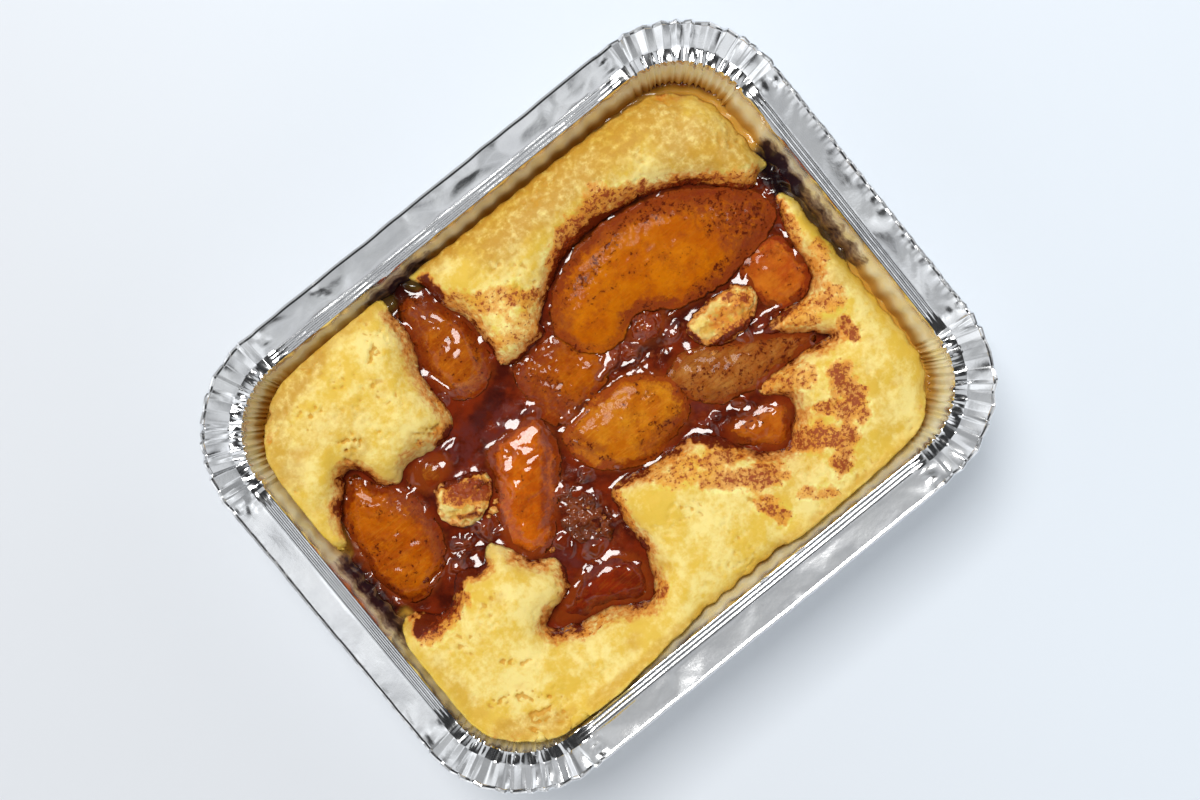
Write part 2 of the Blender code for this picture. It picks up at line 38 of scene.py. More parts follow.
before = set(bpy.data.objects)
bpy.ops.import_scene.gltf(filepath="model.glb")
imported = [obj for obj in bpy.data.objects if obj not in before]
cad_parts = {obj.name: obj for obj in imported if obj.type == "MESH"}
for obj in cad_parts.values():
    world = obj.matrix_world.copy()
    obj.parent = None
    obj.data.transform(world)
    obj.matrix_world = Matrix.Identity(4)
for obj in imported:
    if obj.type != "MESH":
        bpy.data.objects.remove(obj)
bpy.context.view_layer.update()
mm = 0.001
scene = bpy.context.scene

# Helpers for numbers


def smoothStep(low, high, value):
    t = np.clip((value - low) / (high - low), 0.0, 1.0)
    return t * t * (3.0 - 2.0 * t)


def noiseAt(places, size, seed):
    # smooth noise between about -1 and 1, with features of the given size
    return np.array([noise.noise(Vector((p[0] / size, p[1] / size, p[2] / size + seed))) for p in places])


def flatNoise(x, y, size, seed):
    return noiseAt(np.column_stack([x, y, np.zeros(len(x))]), size, seed)


def linear(red, green, blue):
    # from the 0 to 255 of a picture to the linear values that a shader takes
    part = np.array([red, green, blue]) / 255.0
    bent = np.where(part <= 0.04045, part / 12.92, ((part + 0.055) / 1.055) ** 2.4)
    return (*bent.tolist(), 1.0)


def zoneMask(x, y, zones, seed, wobble=0.35):
    # how far each place lies in the zones: (x1, y1, x2, y2, radius, strength), with uneven edges
    found = np.zeros(len(x))
    if not zones:
        return found
    uneven = flatNoise(x, y, 2.2, seed) + 0.6 * flatNoise(x, y, 0.9, seed + 5)
    for x1, y1, x2, y2, radius, strength in zones:
        along = np.array([x2 - x1, y2 - y1])
        length = max(along @ along, 1e-6)
        t = np.clip(((x - x1) * along[0] + (y - y1) * along[1]) / length, 0.0, 1.0)
        away = np.hypot(x - x1 - t * along[0], y - y1 - t * along[1]) / radius
        found = np.maximum(found, strength * smoothStep(1.25, 0.35, away + wobble * uneven))
    return found


# Wet patches that catch the window

# where the window and the camera stand, the patches' height and how uneven their edges are
wetLook = {"window": (40.0, 560.0, 1290.0), "viewer": (-0.4, 15.1, 371.4), "level": 32.0, "rough": 0.7}


def facingWindow(x, y, heights, patches, seed):
    # tilts small patches so that, seen by the camera, they mirror the window
    for x1, y1, x2, y2, radius in patches:
        patch = zoneMask(x, y, [(x1, y1, x2, y2, radius, 1.0)], seed, wetLook["rough"])
        middle = np.array([(x1 + x2) / 2, (y1 + y2) / 2, wetLook["level"]])
        toWindow, toViewer = (np.array(wetLook[name]) - middle for name in ("window", "viewer"))
        half = toWindow / np.linalg.norm(toWindow) + toViewer / np.linalg.norm(toViewer)
        level = np.average(heights, weights=patch + 1e-6)
        tilted = level - ((x - middle[0]) * half[0] + (y - middle[1]) * half[1]) / half[2]
        heights = heights + patch * (tilted - heights)
    return heights


# Helpers for meshes


def newPiece(name, places, faces, finish, nodes, masks=None, sharp=None):
    mesh = bpy.data.meshes.new(name)
    mesh.from_pydata((np.asarray(places) * mm).tolist(), [], faces)
    mesh.shade_smooth()
    if sharp:
        mesh.set_sharp_from_angle(angle=math.radians(sharp))
    for maskName, values in (masks or {}).items():
        layer = mesh.attributes.new(maskName, 'FLOAT', 'POINT')
        layer.data.foreach_set("value", np.asarray(values, dtype=np.float32))
    mesh.materials.append(finish)
    piece = bpy.data.objects.new(name, mesh)
    scene.collection.objects.link(piece)
    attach(piece, "root")
    if nodes:
        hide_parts(*nodes)
    return piece


def nodeShape(name):
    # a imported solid's corners with doubles merged, and its triangles
    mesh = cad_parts[name].data
    mesh.calc_loop_triangles()
    places = np.array([vertex.co for vertex in mesh.vertices]) / mm
    triangles = np.array([face.vertices for face in mesh.loop_triangles])
    rounded, first, same = np.unique(np.round(places, 3), axis=0, return_index=True, return_inverse=True)
    return places[first], same.ravel()[triangles]


def outlineOf(places, triangles):
    # the line round a solid where its upper side meets its under side
    corners = places[triangles]
    normals = np.cross(corners[:, 1] - corners[:, 0], corners[:, 2] - corners[:, 0])
    edges = set()
    for a, b, c in triangles[normals[:, 2] > 0].tolist():
        edges.update(((a, b), (b, c), (c, a)))
    follow = {a: b for a, b in edges if (b, a) not in edges}
    best = []
    while follow:
        loop = [next(iter(follow))]
        while loop[-1] in follow:
            loop.append(follow.pop(loop[-1]))
        if len(loop) > len(best):
            best = loop
    return places[best[:-1]]


def evenRing(curve, spacing):
    closed = np.vstack([curve, curve[:1]])
    travelled = np.concatenate([[0.0], np.cumsum(np.linalg.norm(np.diff(closed[:, :2], axis=0), axis=1))])
    wanted = np.linspace(0.0, travelled[-1], int(travelled[-1] / spacing) + 1)[:-1]
    return np.column_stack([np.interp(wanted, travelled, closed[:, axis]) for axis in range(curve.shape[1])])


def smoothRing(points, spacing):
    # a closed curve through the points, with a point every spacing along it
    before, after, ahead = (np.roll(points, shift, axis=0) for shift in (1, -1, -2))
    steps = 10
    curve = []
    for step in range(steps):
        t = step / steps
        curve.append(0.5 * (2 * points + (after - before) * t
                            + (2 * before - 5 * points + 4 * after - ahead) * t ** 2
                            + (3 * points - before - 3 * after + ahead) * t ** 3))
    return evenRing(np.stack(curve, axis=1).reshape(-1, points.shape[1]), spacing)


def outwardFrom(ring):
    along = np.roll(ring, -2, axis=0)[:, :2] - np.roll(ring, 2, axis=0)[:, :2]
    along /= np.linalg.norm(along, axis=1)[:, None] + 1e-9
    return np.column_stack([along[:, 1], -along[:, 0]])


def insideRing(points, ring):
    inside = np.zeros(len(points), dtype=bool)
    x, y = points[:, 0], points[:, 1]
    for (x1, y1), (x2, y2) in zip(ring, np.roll(ring, -1, axis=0)):
        if y1 != y2:
            inside ^= ((y1 > y) != (y2 > y)) & (x < x1 + (y - y1) * (x2 - x1) / (y2 - y1))
    return inside


def nearestOnRing(points, ring):
    tree = KDTree(len(ring))
    for number, (x, y) in enumerate(ring):
        tree.insert((x, y, 0.0), number)
    tree.balance()
    found = [tree.find((x, y, 0.0)) for x, y in points]
    return np.array([hit[1] for hit in found], dtype=int), np.array([hit[2] for hit in found])


def latticeInside(ring, spacing):
    low, high = ring.min(axis=0), ring.max(axis=0)
    rows = []
    for row, y in enumerate(np.arange(low[1], high[1], spacing * 0.866)):
        x = np.arange(low[0] + spacing / 2 * (row % 2), high[0], spacing)
        rows.append(np.column_stack([x, np.full(len(x), y)]))
    lattice = np.vstack(rows)
    lattice = lattice[insideRing(lattice, ring)]
    away = nearestOnRing(lattice, ring)[1]
    return lattice[away > spacing * 0.6]


def trianglesInside(ring, inner):
    points = np.vstack([ring, inner]) if len(inner) else ring
    made = delaunay_2d_cdt([Vector(point) for point in points], [], [list(range(len(ring)))], 1, 1e-6)
    names = [original[0] for original in made[3]]
    return [tuple(names[corner] for corner in face) for face in made[2]]


def evened(heights, faces, fixed, rounds, free):
    # smooths the heights over the mesh; fixed points stay, free says how much the others give
    pairs = np.array(faces)
    pairs = np.vstack([pairs[:, [0, 1]], pairs[:, [1, 2]], pairs[:, [2, 0]]])
    count = np.maximum(np.bincount(pairs.ravel(), minlength=len(heights)), 1).astype(float)
    for _ in range(rounds):
        total = np.bincount(pairs[:, 0], heights[pairs[:, 1]], len(heights))
        total += np.bincount(pairs[:, 1], heights[pairs[:, 0]], len(heights))
        heights = np.where(fixed, heights, heights + free * (total / count - heights))
    return heights


def normalsOf(places, faces):
    faces = np.array(faces)
    corners = places[faces]
    normals = np.cross(corners[:, 1] - corners[:, 0], corners[:, 2] - corners[:, 0])
    summed = np.zeros_like(places)
    for corner in range(3):
        for axis in range(3):
            summed[:, axis] += np.bincount(faces[:, corner], normals[:, axis], len(places))
    return summed / (np.linalg.norm(summed, axis=1)[:, None] + 1e-12)


overFood, underFood = 80.0, -5.0      # heights clear of the whole part, where rays start


def heightsOn(tree, points, start, direction, otherwise):
    # what a ray straight up or down from each point meets first, or the other height given
    heights = otherwise.copy()
    for number, (x, y) in enumerate(points):
        hit = tree.ray_cast(Vector((x, y, start)), Vector((0.0, 0.0, direction)))[0]
        if hit is not None:
            heights[number] = hit.z
    return heights


# Helpers for finishes


def fill(tree, made, sockets):
    # a socket's value is a number, a colour or another node's output
    for socket, value in sockets.items():
        if isinstance(value, bpy.types.NodeSocket):
            tree.links.new(value, made.inputs[socket])
        else:
            made.inputs[socket].default_value = value
    return made


def put(tree, kind, sockets, **settings):
    made = tree.nodes.new(kind)
    for name, value in settings.items():
        setattr(made, name, value)
    return fill(tree, made, sockets)


def putGroup(tree, group, sockets):
    made = tree.nodes.new('ShaderNodeGroup')
    made.node_tree = group
    return fill(tree, made, sockets).outputs


def maths(tree, operation, first, second=0.0, third=0.0):
    return put(tree, 'ShaderNodeMath', {0: first, 1: second, 2: third}, operation=operation).outputs[0]


def ramp(tree, value, low, high, start=0.0, end=1.0):
    return put(tree, 'ShaderNodeMapRange', {0: value, 1: low, 2: high, 3: start, 4: end},
               interpolation_type='SMOOTHSTEP').outputs[0]


def mixed(tree, factor, first, second):
    return put(tree, 'ShaderNodeMix', {0: factor, 6: first, 7: second}, data_type='RGBA').outputs[2]


def mask(tree, name):
    return put(tree, 'ShaderNodeAttribute', {}, attribute_name=name).outputs["Fac"]


def whereIs(tree):
    # the place on the piece, in millimetres
    place = put(tree, 'ShaderNodeTexCoord', {}).outputs["Object"]
    return put(tree, 'ShaderNodeVectorMath', {0: place, 3: 1.0 / mm}, operation='SCALE').outputs[0]


def grainAt(tree, place, size, detail=3.0, roughness=0.55):
    # noise with features of that size, which is a number or one of a group's inputs
    scale = 1.0 / size if isinstance(size, float) else maths(tree, 'DIVIDE', 1.0, size)
    sockets = {"Vector": place, "Scale": scale, "Detail": detail, "Roughness": roughness}
    return put(tree, 'ShaderNodeTexNoise', sockets).outputs["Fac"]


def bumped(tree, height, strength, depth):
    # fine relief for the shader's normal; depth is in millimetres
    sockets = {"Strength": strength, "Distance": depth * mm, "Height": height}
    return put(tree, 'ShaderNodeBump', sockets).outputs[0]


def newFinish(name):
    finish = bpy.data.materials.new(name)
    finish.use_nodes = True
    tree = finish.node_tree
    return finish, tree, tree.nodes["Principled BSDF"]


def newGroup(name, takes, gives):
    group = bpy.data.node_groups.new(name, 'ShaderNodeTree')
    for socketName, value in takes.items():
        socket = group.interface.new_socket(socketName, in_out='INPUT', socket_type='NodeSocketFloat')
        socket.default_value = value
    for socketName in gives:
        group.interface.new_socket(socketName, in_out='OUTPUT', socket_type='NodeSocketFloat')
    return group, group.nodes.new('NodeGroupInput').outputs, group.nodes.new('NodeGroupOutput').inputs


def cinnamonGroup():
    # dark grains of spice that gather in clumps, the brown that they melt into and an orange halo
    group, given, made = newGroup("cinnamonDust", {"Amount": 0.0, "Grain": 0.5, "Clump": 2.2},
                                  ["Specks", "Blotch", "Halo"])
    place = whereIs(group)
    clump = grainAt(group, place, given["Clump"], 5.0, 0.68)
    level = maths(group, 'MULTIPLY_ADD', given["Amount"], 1.35, -0.3)
    level = maths(group, 'MULTIPLY_ADD', maths(group, 'SUBTRACT', clump, 0.5), 3.2, level)
    level = maths(group, 'MULTIPLY', level, ramp(group, given["Amount"], 0.02, 0.25))
    grains = grainAt(group, place, given["Grain"], 3.0, 0.7)
    chosen = ramp(group, maths(group, 'MULTIPLY_ADD', level, 0.2, grains), 0.63, 0.75)
    group.links.new(maths(group, 'MULTIPLY', chosen, ramp(group, given["Amount"], 0.04, 0.2)), made["Specks"])
    group.links.new(ramp(group, level, 0.35, 1.0), made["Blotch"])
    group.links.new(ramp(group, level, -0.25, 0.5), made["Halo"])
    return group


def juiceGroup():
    # where syrup has soaked in: an uneven edge and a darker middle
    group, given, made = newGroup("syrupStain", {"Amount": 0.0, "Grain": 1.0}, ["Soaked", "Tinted"])
    rough = grainAt(group, whereIs(group), given["Grain"], 4.0, 0.6)
    level = maths(group, 'MULTIPLY_ADD', maths(group, 'SUBTRACT', rough, 0.5), 1.3, given["Amount"])
    level = maths(group, 'MULTIPLY', level, ramp(group, given["Amount"], 0.01, 0.12))
    group.links.new(ramp(group, level, 0.4, 0.75), made["Soaked"])
    group.links.new(ramp(group, level, 0.0, 0.5), made["Tinted"])
    return group


cinnamonDust = cinnamonGroup()
syrupStain = juiceGroup()


def soiled(tree, colour, stains):
    # puts syrup stains and spice, painted as masks on the piece, over a colour
    stain = putGroup(tree, syrupStain, {"Amount": mask(tree, "juice"), "Grain": 1.1})
    dust = putGroup(tree, cinnamonDust, {"Amount": mask(tree, "spice"), "Grain": stains["grain"]})
    layers = [(stain["Tinted"], 0.85, "tint"), (dust["Halo"], stains["haloShare"], "halo"),
              (dust["Blotch"], stains["blotchShare"], "blotch"), (stain["Soaked"], 1.0, "soaked"),
              (dust["Specks"], 0.9, "speck")]
    for amount, share, tone in layers:
        colour = mixed(tree, maths(tree, 'MULTIPLY', amount, share), colour, stains[tone])
    return colour, stain["Soaked"], dust["Specks"]


print("helpers ready")

# Foil tray

trayLook = {
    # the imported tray's own sizes
    "corner": 25.0, "flange": 5.4, "ledge": 2.6, "rise": 3.2, "lean": 10.5, "bend": 3.0,
    "roll": 0.6, "foil": 0.35, "wall": 0.75, "floor": 0.7,
    # how finely it is cut round a corner and along a side
    "cornerSteps": 210, "sideStep": 0.8,
    # flutes of the sides, pleats and crimps of the corners, and how far these run along the sides
    "longFlutes": 20, "shortFlutes": 14, "fluteDepth": 0.5, "pleatPitch": 0.95, "pleatDepth": 0.5,
    "crimpPitch": 1.5, "crimpDepth": 0.85, "foldRun": 5.0, "beads": 3, "beadDepth": 0.19,
    # crumples and ripples of the flange, with their strengths on the right, top, left and bottom side
    "crumplePitch": 5.0, "crumpleDepth": 0.55, "crumples": (0.6, 1.0, 0.3, 0.45),
    "wavePitch": 3.1, "waveDepth": 0.1, "waves": (2.6, 0.2, 0.35, 0.25),
    # how far the ledge sinks, crumples and pleats, and how uneven it, the flange and the rim are
    "ledgeSink": 0.04, "ledgeCrumple": 0.14, "ledgePleat": 0.3, "ledgeTurn": 0.2, "flangeTurn": 0.5,
    "rimUneven": 0.2, "rimCrimp": 0.14,
    # dents of the walls: size and depth
    "dents": [(2.6, 0.16), (7.0, 0.3)],
    # where syrup has soiled the wall: x1, y1, x2, y2, radius, strength
    "juice": [(60.5, 20, 61, 10, 3.4, 0.9), (61.5, 10, 62, -9, 3.4, 0.5), (-22, 47, -12, 47.5, 4.5, 0.7),
              (-64, 7, -64, -9, 3.2, 0.85), (-62, -10, -62, -14, 2.5, 0.5)],
    "metal": (0.84, 0.85, 0.87, 1.0), "brightMetal": (0.93, 0.94, 0.95, 1.0),
    # the golds of the inside are partly a butter film and partly a painted reflection of the pastry
    "gold": linear(247, 234, 176), "paleGold": linear(250, 246, 214), "shadedWarmGold": linear(218, 172, 64),
    "stain": linear(118, 76, 66), "darkStain": linear(46, 24, 32), "slot": "foil",
}
trayLow, trayHigh = (np.array(corner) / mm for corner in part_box("foil_tray"))
halfLength, halfWidth, trayHeight = trayHigh[0], trayHigh[1], trayHigh[2]
ledgeHeight = trayHeight - trayLook["rise"]


def wallInset(z):
    return trayLook["flange"] + trayLook["ledge"] + (ledgeHeight - z) * trayLook["lean"] / ledgeHeight


def distanceToWall(x, y, z):
    # from a place inside the tray outwards to its wall at that height
    overX = np.abs(x) - (halfLength - trayLook["corner"])
    overY = np.abs(y) - (halfWidth - trayLook["corner"])
    outside = np.hypot(np.maximum(overX, 0), np.maximum(overY, 0)) + np.minimum(np.maximum(overX, overY), 0)
    return trayLook["corner"] - wallInset(z) - outside


def trayStations():
    # round the tray anticlockwise: core point, outward direction, way travelled, 1 in the corners
    # falling to 0 on the sides, side, flute phase
    coreX, coreY = halfLength - trayLook["corner"], halfWidth - trayLook["corner"]
    corners = [(coreX, coreY), (-coreX, coreY), (-coreX, -coreY), (coreX, -coreY)]
    flutes = [trayLook["longFlutes"], trayLook["shortFlutes"]] * 2
    rows = []
    travelled = 0.0
    for number, corner in enumerate(corners):
        start = number * math.pi / 2
        turn = trayLook["cornerSteps"]
        for step in range(turn):
            angle = start + step / turn * math.pi / 2
            rows.append((*corner, math.cos(angle), math.sin(angle), travelled, 1.0, number + 0.5, 0.0))
            travelled += (trayLook["corner"] - 3.0) * math.pi / 2 / turn
        following = corners[(number + 1) % 4]
        length = math.dist(corner, following)
        steps = int(length / trayLook["sideStep"])
        for step in range(steps):
            t = step / steps
            x, y = (a + (b - a) * t for a, b in zip(corner, following))
            cornered = 1.0 - float(smoothStep(0.0, trayLook["foldRun"], min(t, 1.0 - t) * length))
            rows.append((x, y, math.cos(start + math.pi / 2), math.sin(start + math.pi / 2),
                         travelled, cornered, number + 1.0, t * flutes[number]))
            travelled += length / steps
    return np.array(rows), travelled


def foldsAlong(way, total, pitch, seed):
    # sharp uneven folds: a zigzag whose turns come at irregular distances
    draw = np.random.default_rng(seed)
    turns = [0.0]
    while turns[-1] < total:
        turns.append(turns[-1] + pitch * draw.uniform(0.35, 1.65))
    turns = np.array(turns) * total / turns[-1]
    heights = draw.uniform(0.15, 1.0, len(turns)) * np.where(np.arange(len(turns)) % 2, 1.0, -1.0)
    heights[-1] = heights[0]
    return np.interp(way, turns, heights)


def crumpledSheet(total, width, pitch, seed):
    # flat facets between random points, met along sharp creases
    draw = np.random.default_rng(seed)
    columns, rows = int(total / pitch) + 4, 4
    points, faces = [], []
    for column in range(columns):
        for row in range(rows):
            along = (column - 1 + draw.uniform(-0.4, 0.4)) * pitch
            across = (row - 0.5 + draw.uniform(-0.3, 0.3)) * width / (rows - 2)
            points.append((along, across, draw.uniform(-1.0, 1.0)))
    for column in range(columns - 1):
        for row in range(rows - 1):
            a, b = column * rows + row, (column + 1) * rows + row
            rising = draw.random() < 0.5
            faces += [(a, b, b + 1), (a, b + 1, a + 1)] if rising else [(a, b, a + 1), (b, b + 1, a + 1)]
    return BVHTree.FromPolygons(points, faces)


def trayRings():
    # the profile from the floor's middle up the inside, over the rim and down the outside:
    # inset from the rim's edge, height, and what part of the tray it is
    look = trayLook
    bend, roll = look["bend"], look["roll"]
    rings = [(wallInset(0) + bend * 3, look["floor"], "floor"), (wallInset(0) + bend, look["floor"], "floor"),
             (wallInset(bend) + 0.5, bend * 0.6, "inside")]
    for z in (bend * 2, 14, 20, 24, 26, 27, 28, 29, 30, 31, 32, 33, 34, 35, 36, 36.8, 37.5, 38.1, 38.5):
        rings.append((wallInset(z), z, "inside"))
    beadRings = look["beads"] * 5
    for step in range(beadRings + 1):
        rings.append((look["flange"] + look["ledge"] * (1 - step / beadRings), ledgeHeight, "ledge"))
    edge = trayHeight - roll
    flangeSteps, edgeSteps, underSteps = 12, 6, 4
    for step in range(1, flangeSteps + 1):
        inset = look["flange"] + (roll * 1.6 - look["flange"]) * step / flangeSteps
        rings.append((inset, ledgeHeight + (edge - ledgeHeight) * step / flangeSteps, "flange"))
    for step in range(1, edgeSteps + 1):
        angle = math.pi * (0.9 - 1.25 * step / edgeSteps)
        rings.append((roll * (1 - math.cos(angle)), edge + roll * math.sin(angle), "edge"))
    under = ledgeHeight - look["foil"]
    for step in range(underSteps + 1):
        inset = roll * 1.9 + (look["flange"] + 0.2 - roll * 1.9) * step / underSteps
        rings.append((inset, edge - roll * 0.9 + (under - edge + roll * 0.9) * step / underSteps, "under"))
    rings.append((look["flange"] + look["ledge"] - look["foil"], under, "under"))
    for z in (37.6, 36, 33, 29, 24, 18, 12, bend * 2):
        rings.append((wallInset(z) - look["wall"], z, "outside"))
    rings.append((wallInset(bend) - 0.2, bend * 0.3, "outside"))
    rings.append((wallInset(0) + bend * 0.6, 0.0, "base"))
    rings.append((wallInset(0) + bend * 3, 0.0, "base"))
    return rings


def foilFolds(stations, total):
    # crimps, pleats, flutes, crumples and ripples at every station round the tray
    look = trayLook
    way, cornered, side, flute = stations.T[4:]
    crumple, ripple = (np.interp(side % 4, range(5), [*look[name], look[name][0]])
                       for name in ("crumples", "waves"))
    rippled = np.sin(way * 2 * math.pi / look["wavePitch"] + 1.5 * np.sin(way / 9.0))
    return {
        "crimpIn": foldsAlong(way, total, look["crimpPitch"], 11),
        "crimpOut": foldsAlong(way, total, look["crimpPitch"] * 1.2, 12),
        "pleat": foldsAlong(way, total, look["pleatPitch"], 14),
        "flute": 0.5 - 0.5 * np.cos(flute * 2 * math.pi),
        "cornered": cornered,
        "straight": 1 - cornered,
        "turning": 4 * cornered * (1 - cornered),
        "crumple": crumple,
        "ripple": ripple * rippled,
    }


def flutedWall(here, z, folds):
    # how far a wall stands out at that height
    look = trayLook
    below = smoothStep(ledgeHeight, ledgeHeight - 3.0, z)
    out = look["fluteDepth"] * folds["flute"] * folds["straight"] * below
    out += look["pleatDepth"] * folds["pleat"] * folds["cornered"]
    for number, (size, depth) in enumerate(look["dents"]):
        out += depth * noiseAt(here, size, 21.0 - number)
    return out * smoothStep(look["bend"], 9.0, z)


def beadedLedge(here, inset, facets, folds):
    # how far the ledge rises between the wall and the flange
    look = trayLook
    across = (inset - look["flange"]) / look["ledge"]
    bead = np.sin(math.pi * across * look["beads"]) ** 2 * look["beadDepth"]
    up = bead * folds["straight"] - look["ledgeSink"] + look["ledgeCrumple"] * facets * folds["crumple"]
    up += look["ledgePleat"] * folds["pleat"] * folds["cornered"] * across
    up += look["ledgeTurn"] * folds["turning"] * noiseAt(here, 1.6, 22.0)
    return up + look["crimpDepth"] * 0.5 * folds["crimpIn"] * folds["cornered"] * (1 - across)


def crimpedFlange(here, inset, part, facets, folds):
    # how far the flange stands out and rises
    look = trayLook
    run = min(max((look["flange"] - inset) / look["flange"], 0.0), 1.0)
    middle = 0.15
    if part == "flange" and run < 0.98:
        middle = math.sin(math.pi * min(run * 1.02, 1.0)) ** 0.6
    crimp = folds["crimpIn"] * (1 - run) + folds["crimpOut"] * run
    up = look["crimpDepth"] * crimp * folds["cornered"] * (0.5 + 0.5 * run)
    up += look["crumpleDepth"] * folds["crumple"] * facets * folds["straight"] * (0.25 + 0.75 * middle)
    up += look["waveDepth"] * folds["ripple"] * folds["straight"] * float(smoothStep(0.45, 0.9, run))
    up += look["flangeTurn"] * folds["turning"] * noiseAt(here, 1.8, 25.0) * (0.3 + middle)
    up += look["rimUneven"] * noiseAt(here, 14.0, 26.0) * run
    out = look["rimUneven"] * noiseAt(here, 5.0, 27.0) * run
    out += look["rimCrimp"] * folds["crimpOut"] * folds["cornered"] * run
    return out, up


def ringFaces(around, rings):
    # quads between rings of the same number of points, closed at both ends
    faces = []
    last = (rings - 1) * around
    for first in range(0, last, around):
        for step in range(around):
            following = (step + 1) % around
            faces.append((first + step, first + step + around, first + following + around, first + following))
    faces.append(tuple(range(around)))
    faces.append(tuple(range(last + around - 1, last - 1, -1)))
    return faces


def shapedTray():
    look = trayLook
    stations, total = trayStations()
    coreX, coreY, outX, outY, way = stations.T[:5]
    folds = foilFolds(stations, total)
    crumpled = crumpledSheet(total, look["flange"] + look["ledge"], look["crumplePitch"], 15)
    places, butterAndReflection, stain = [], [], []
    for inset, z, part in trayRings():
        out = np.full(len(way), look["corner"] - inset)
        up = np.full(len(way), float(z))
        x, y = coreX + outX * out, coreY + outY * out
        here = np.column_stack([x, y, up])
        onSheet = np.column_stack([way, np.full(len(way), inset)])
        facets = heightsOn(crumpled, onSheet, 5.0, -1.0, np.zeros(len(way)))
        if part in ("inside", "outside"):
            out += flutedWall(here, z, folds)
        if part == "ledge":
            up += beadedLedge(here, inset, facets, folds)
        if part in ("flange", "edge", "under"):
            wider, higher = crimpedFlange(here, inset, part, facets, folds)
            out += wider
            up += higher
        if part == "under":
            up -= 0.3
        places.append(np.column_stack([coreX + outX * out, coreY + outY * out, up]))
        lined = 1.0 if part in ("floor", "inside") else 0.0
        uneven = z + 1.2 * noiseAt(here, 3.0, 28.0)
        # the lined inside below the ledge is painted gold: partly a butter film, partly a painted reflection
        # of the pastry
        butterAndReflection.append(lined * smoothStep(ledgeHeight + 0.4, ledgeHeight - 4.0, uneven))
        stain.append(zoneMask(x, y, look["juice"], 31.0) * lined * float(smoothStep(37.5, 31.0, z)))
    masks = {"butterAndReflection": np.concatenate(butterAndReflection), "juice": np.concatenate(stain)}
    return np.vstack(places), ringFaces(len(way), len(places)), masks


def foilFinish():
    look = trayLook
    finish, tree, shader = newFinish("crimpedFoil")
    place = whereIs(tree)
    stained = putGroup(tree, syrupStain, {"Amount": mask(tree, "juice"), "Grain": 2.0})
    streaks = put(tree, 'ShaderNodeMapping', {"Vector": place, "Scale": (1.0, 0.06, 1.0)}).outputs[0]
    rolled = grainAt(tree, streaks, 0.18, 2.0)
    cloudy, patchy = grainAt(tree, place, 7.0, 4.0), grainAt(tree, place, 3.5, 4.0)
    metal = mixed(tree, ramp(tree, cloudy, 0.3, 0.7), look["metal"], look["brightMetal"])
    gold = mixed(tree, ramp(tree, patchy, 0.35, 0.65), look["gold"], look["paleGold"])
    height = put(tree, 'ShaderNodeSeparateXYZ', {0: place}).outputs[2]
    # lower down the wall the gold turns browner: painted shade and a painted warm reflection of the pastry
    gold = mixed(tree, ramp(tree, height, 33.5, 28.5), gold, look["shadedWarmGold"])
    # gold where the inside is lined: part butter film, part painted reflection of the pastry
    filmAndReflection = maths(tree, 'MULTIPLY', mask(tree, "butterAndReflection"), 0.95)
    colour = mixed(tree, filmAndReflection, metal, gold)
    colour = mixed(tree, maths(tree, 'MULTIPLY', stained["Tinted"], 0.8), colour, look["stain"])
    colour = mixed(tree, stained["Soaked"], colour, look["darkStain"])
    metallic = maths(tree, 'MULTIPLY', maths(tree, 'MULTIPLY_ADD', filmAndReflection, -0.85, 1.0),
                     maths(tree, 'SUBTRACT', 1.0, stained["Soaked"]))
    rough = maths(tree, 'MULTIPLY_ADD', rolled, 0.1, 0.12)
    rough = maths(tree, 'MULTIPLY_ADD', filmAndReflection, 0.22, rough)
    dimples = grainAt(tree, place, 1.1, 3.0)
    relief = maths(tree, 'MULTIPLY_ADD', dimples, 0.6, maths(tree, 'MULTIPLY', rolled, 0.1))
    fill(tree, shader, {"Base Color": colour, "Metallic": metallic, "Roughness": rough,
                        "Normal": bumped(tree, relief, 0.3, 0.12)})
    return finish


trayPlaces, trayFaces, trayMasks = shapedTray()
newPiece("foilTray", trayPlaces, trayFaces, foilFinish(), ["foil_tray"], trayMasks,
         sharp=30)
print("foil tray:", len(trayFaces), "faces")

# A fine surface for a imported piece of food

# In the looks of food, zones are x1, y1, x2, y2, radius and strength. For raised, holes and grit the
# strength is in millimetres, and wet patches have none. Relief is size and height, pits are depth,
# size and the size of their clusters, and lip is strength and reach of the stain along torn edges.

surfaces = []      # what the loose crumbs can lie on


def raggedRing(ring, look):
    # the outline spread under its neighbours where wanted, raised up the leaning wall where the
    # piece stands fuller, and torn unevenly away from the wall
    wall = distanceToWall(ring[:, 0], ring[:, 1], ring[:, 2])
    atWall = smoothStep(4.5, 2.0, wall)
    lift = atWall * zoneMask(ring[:, 0], ring[:, 1], look.get("raised"), look["seed"] + 19.0)
    moved = look["spread"] * (1 - atWall) + lift * trayLook["lean"] / ledgeHeight
    ring[:, :2] += outwardFrom(ring) * moved[:, None]
    ring[:, 2] += lift
    gentle = sum(np.roll(ring, shift, axis=0) for shift in range(-8, 9)) / 17
    ring += (gentle - ring) * np.minimum(lift / 3.0, 1.0)[:, None]
    uneven = look["ragged"] * (1 - atWall) + look["raggedWall"] * atWall
    for size, amount in ((6.0, 0.5), (3.2, 0.6), (1.3, 0.45), (0.7, 0.2)):
        ring[:, :2] += outwardFrom(ring) * (uneven * amount * noiseAt(ring, size, look["seed"]))[:, None]
    return ring, atWall, lift, moved


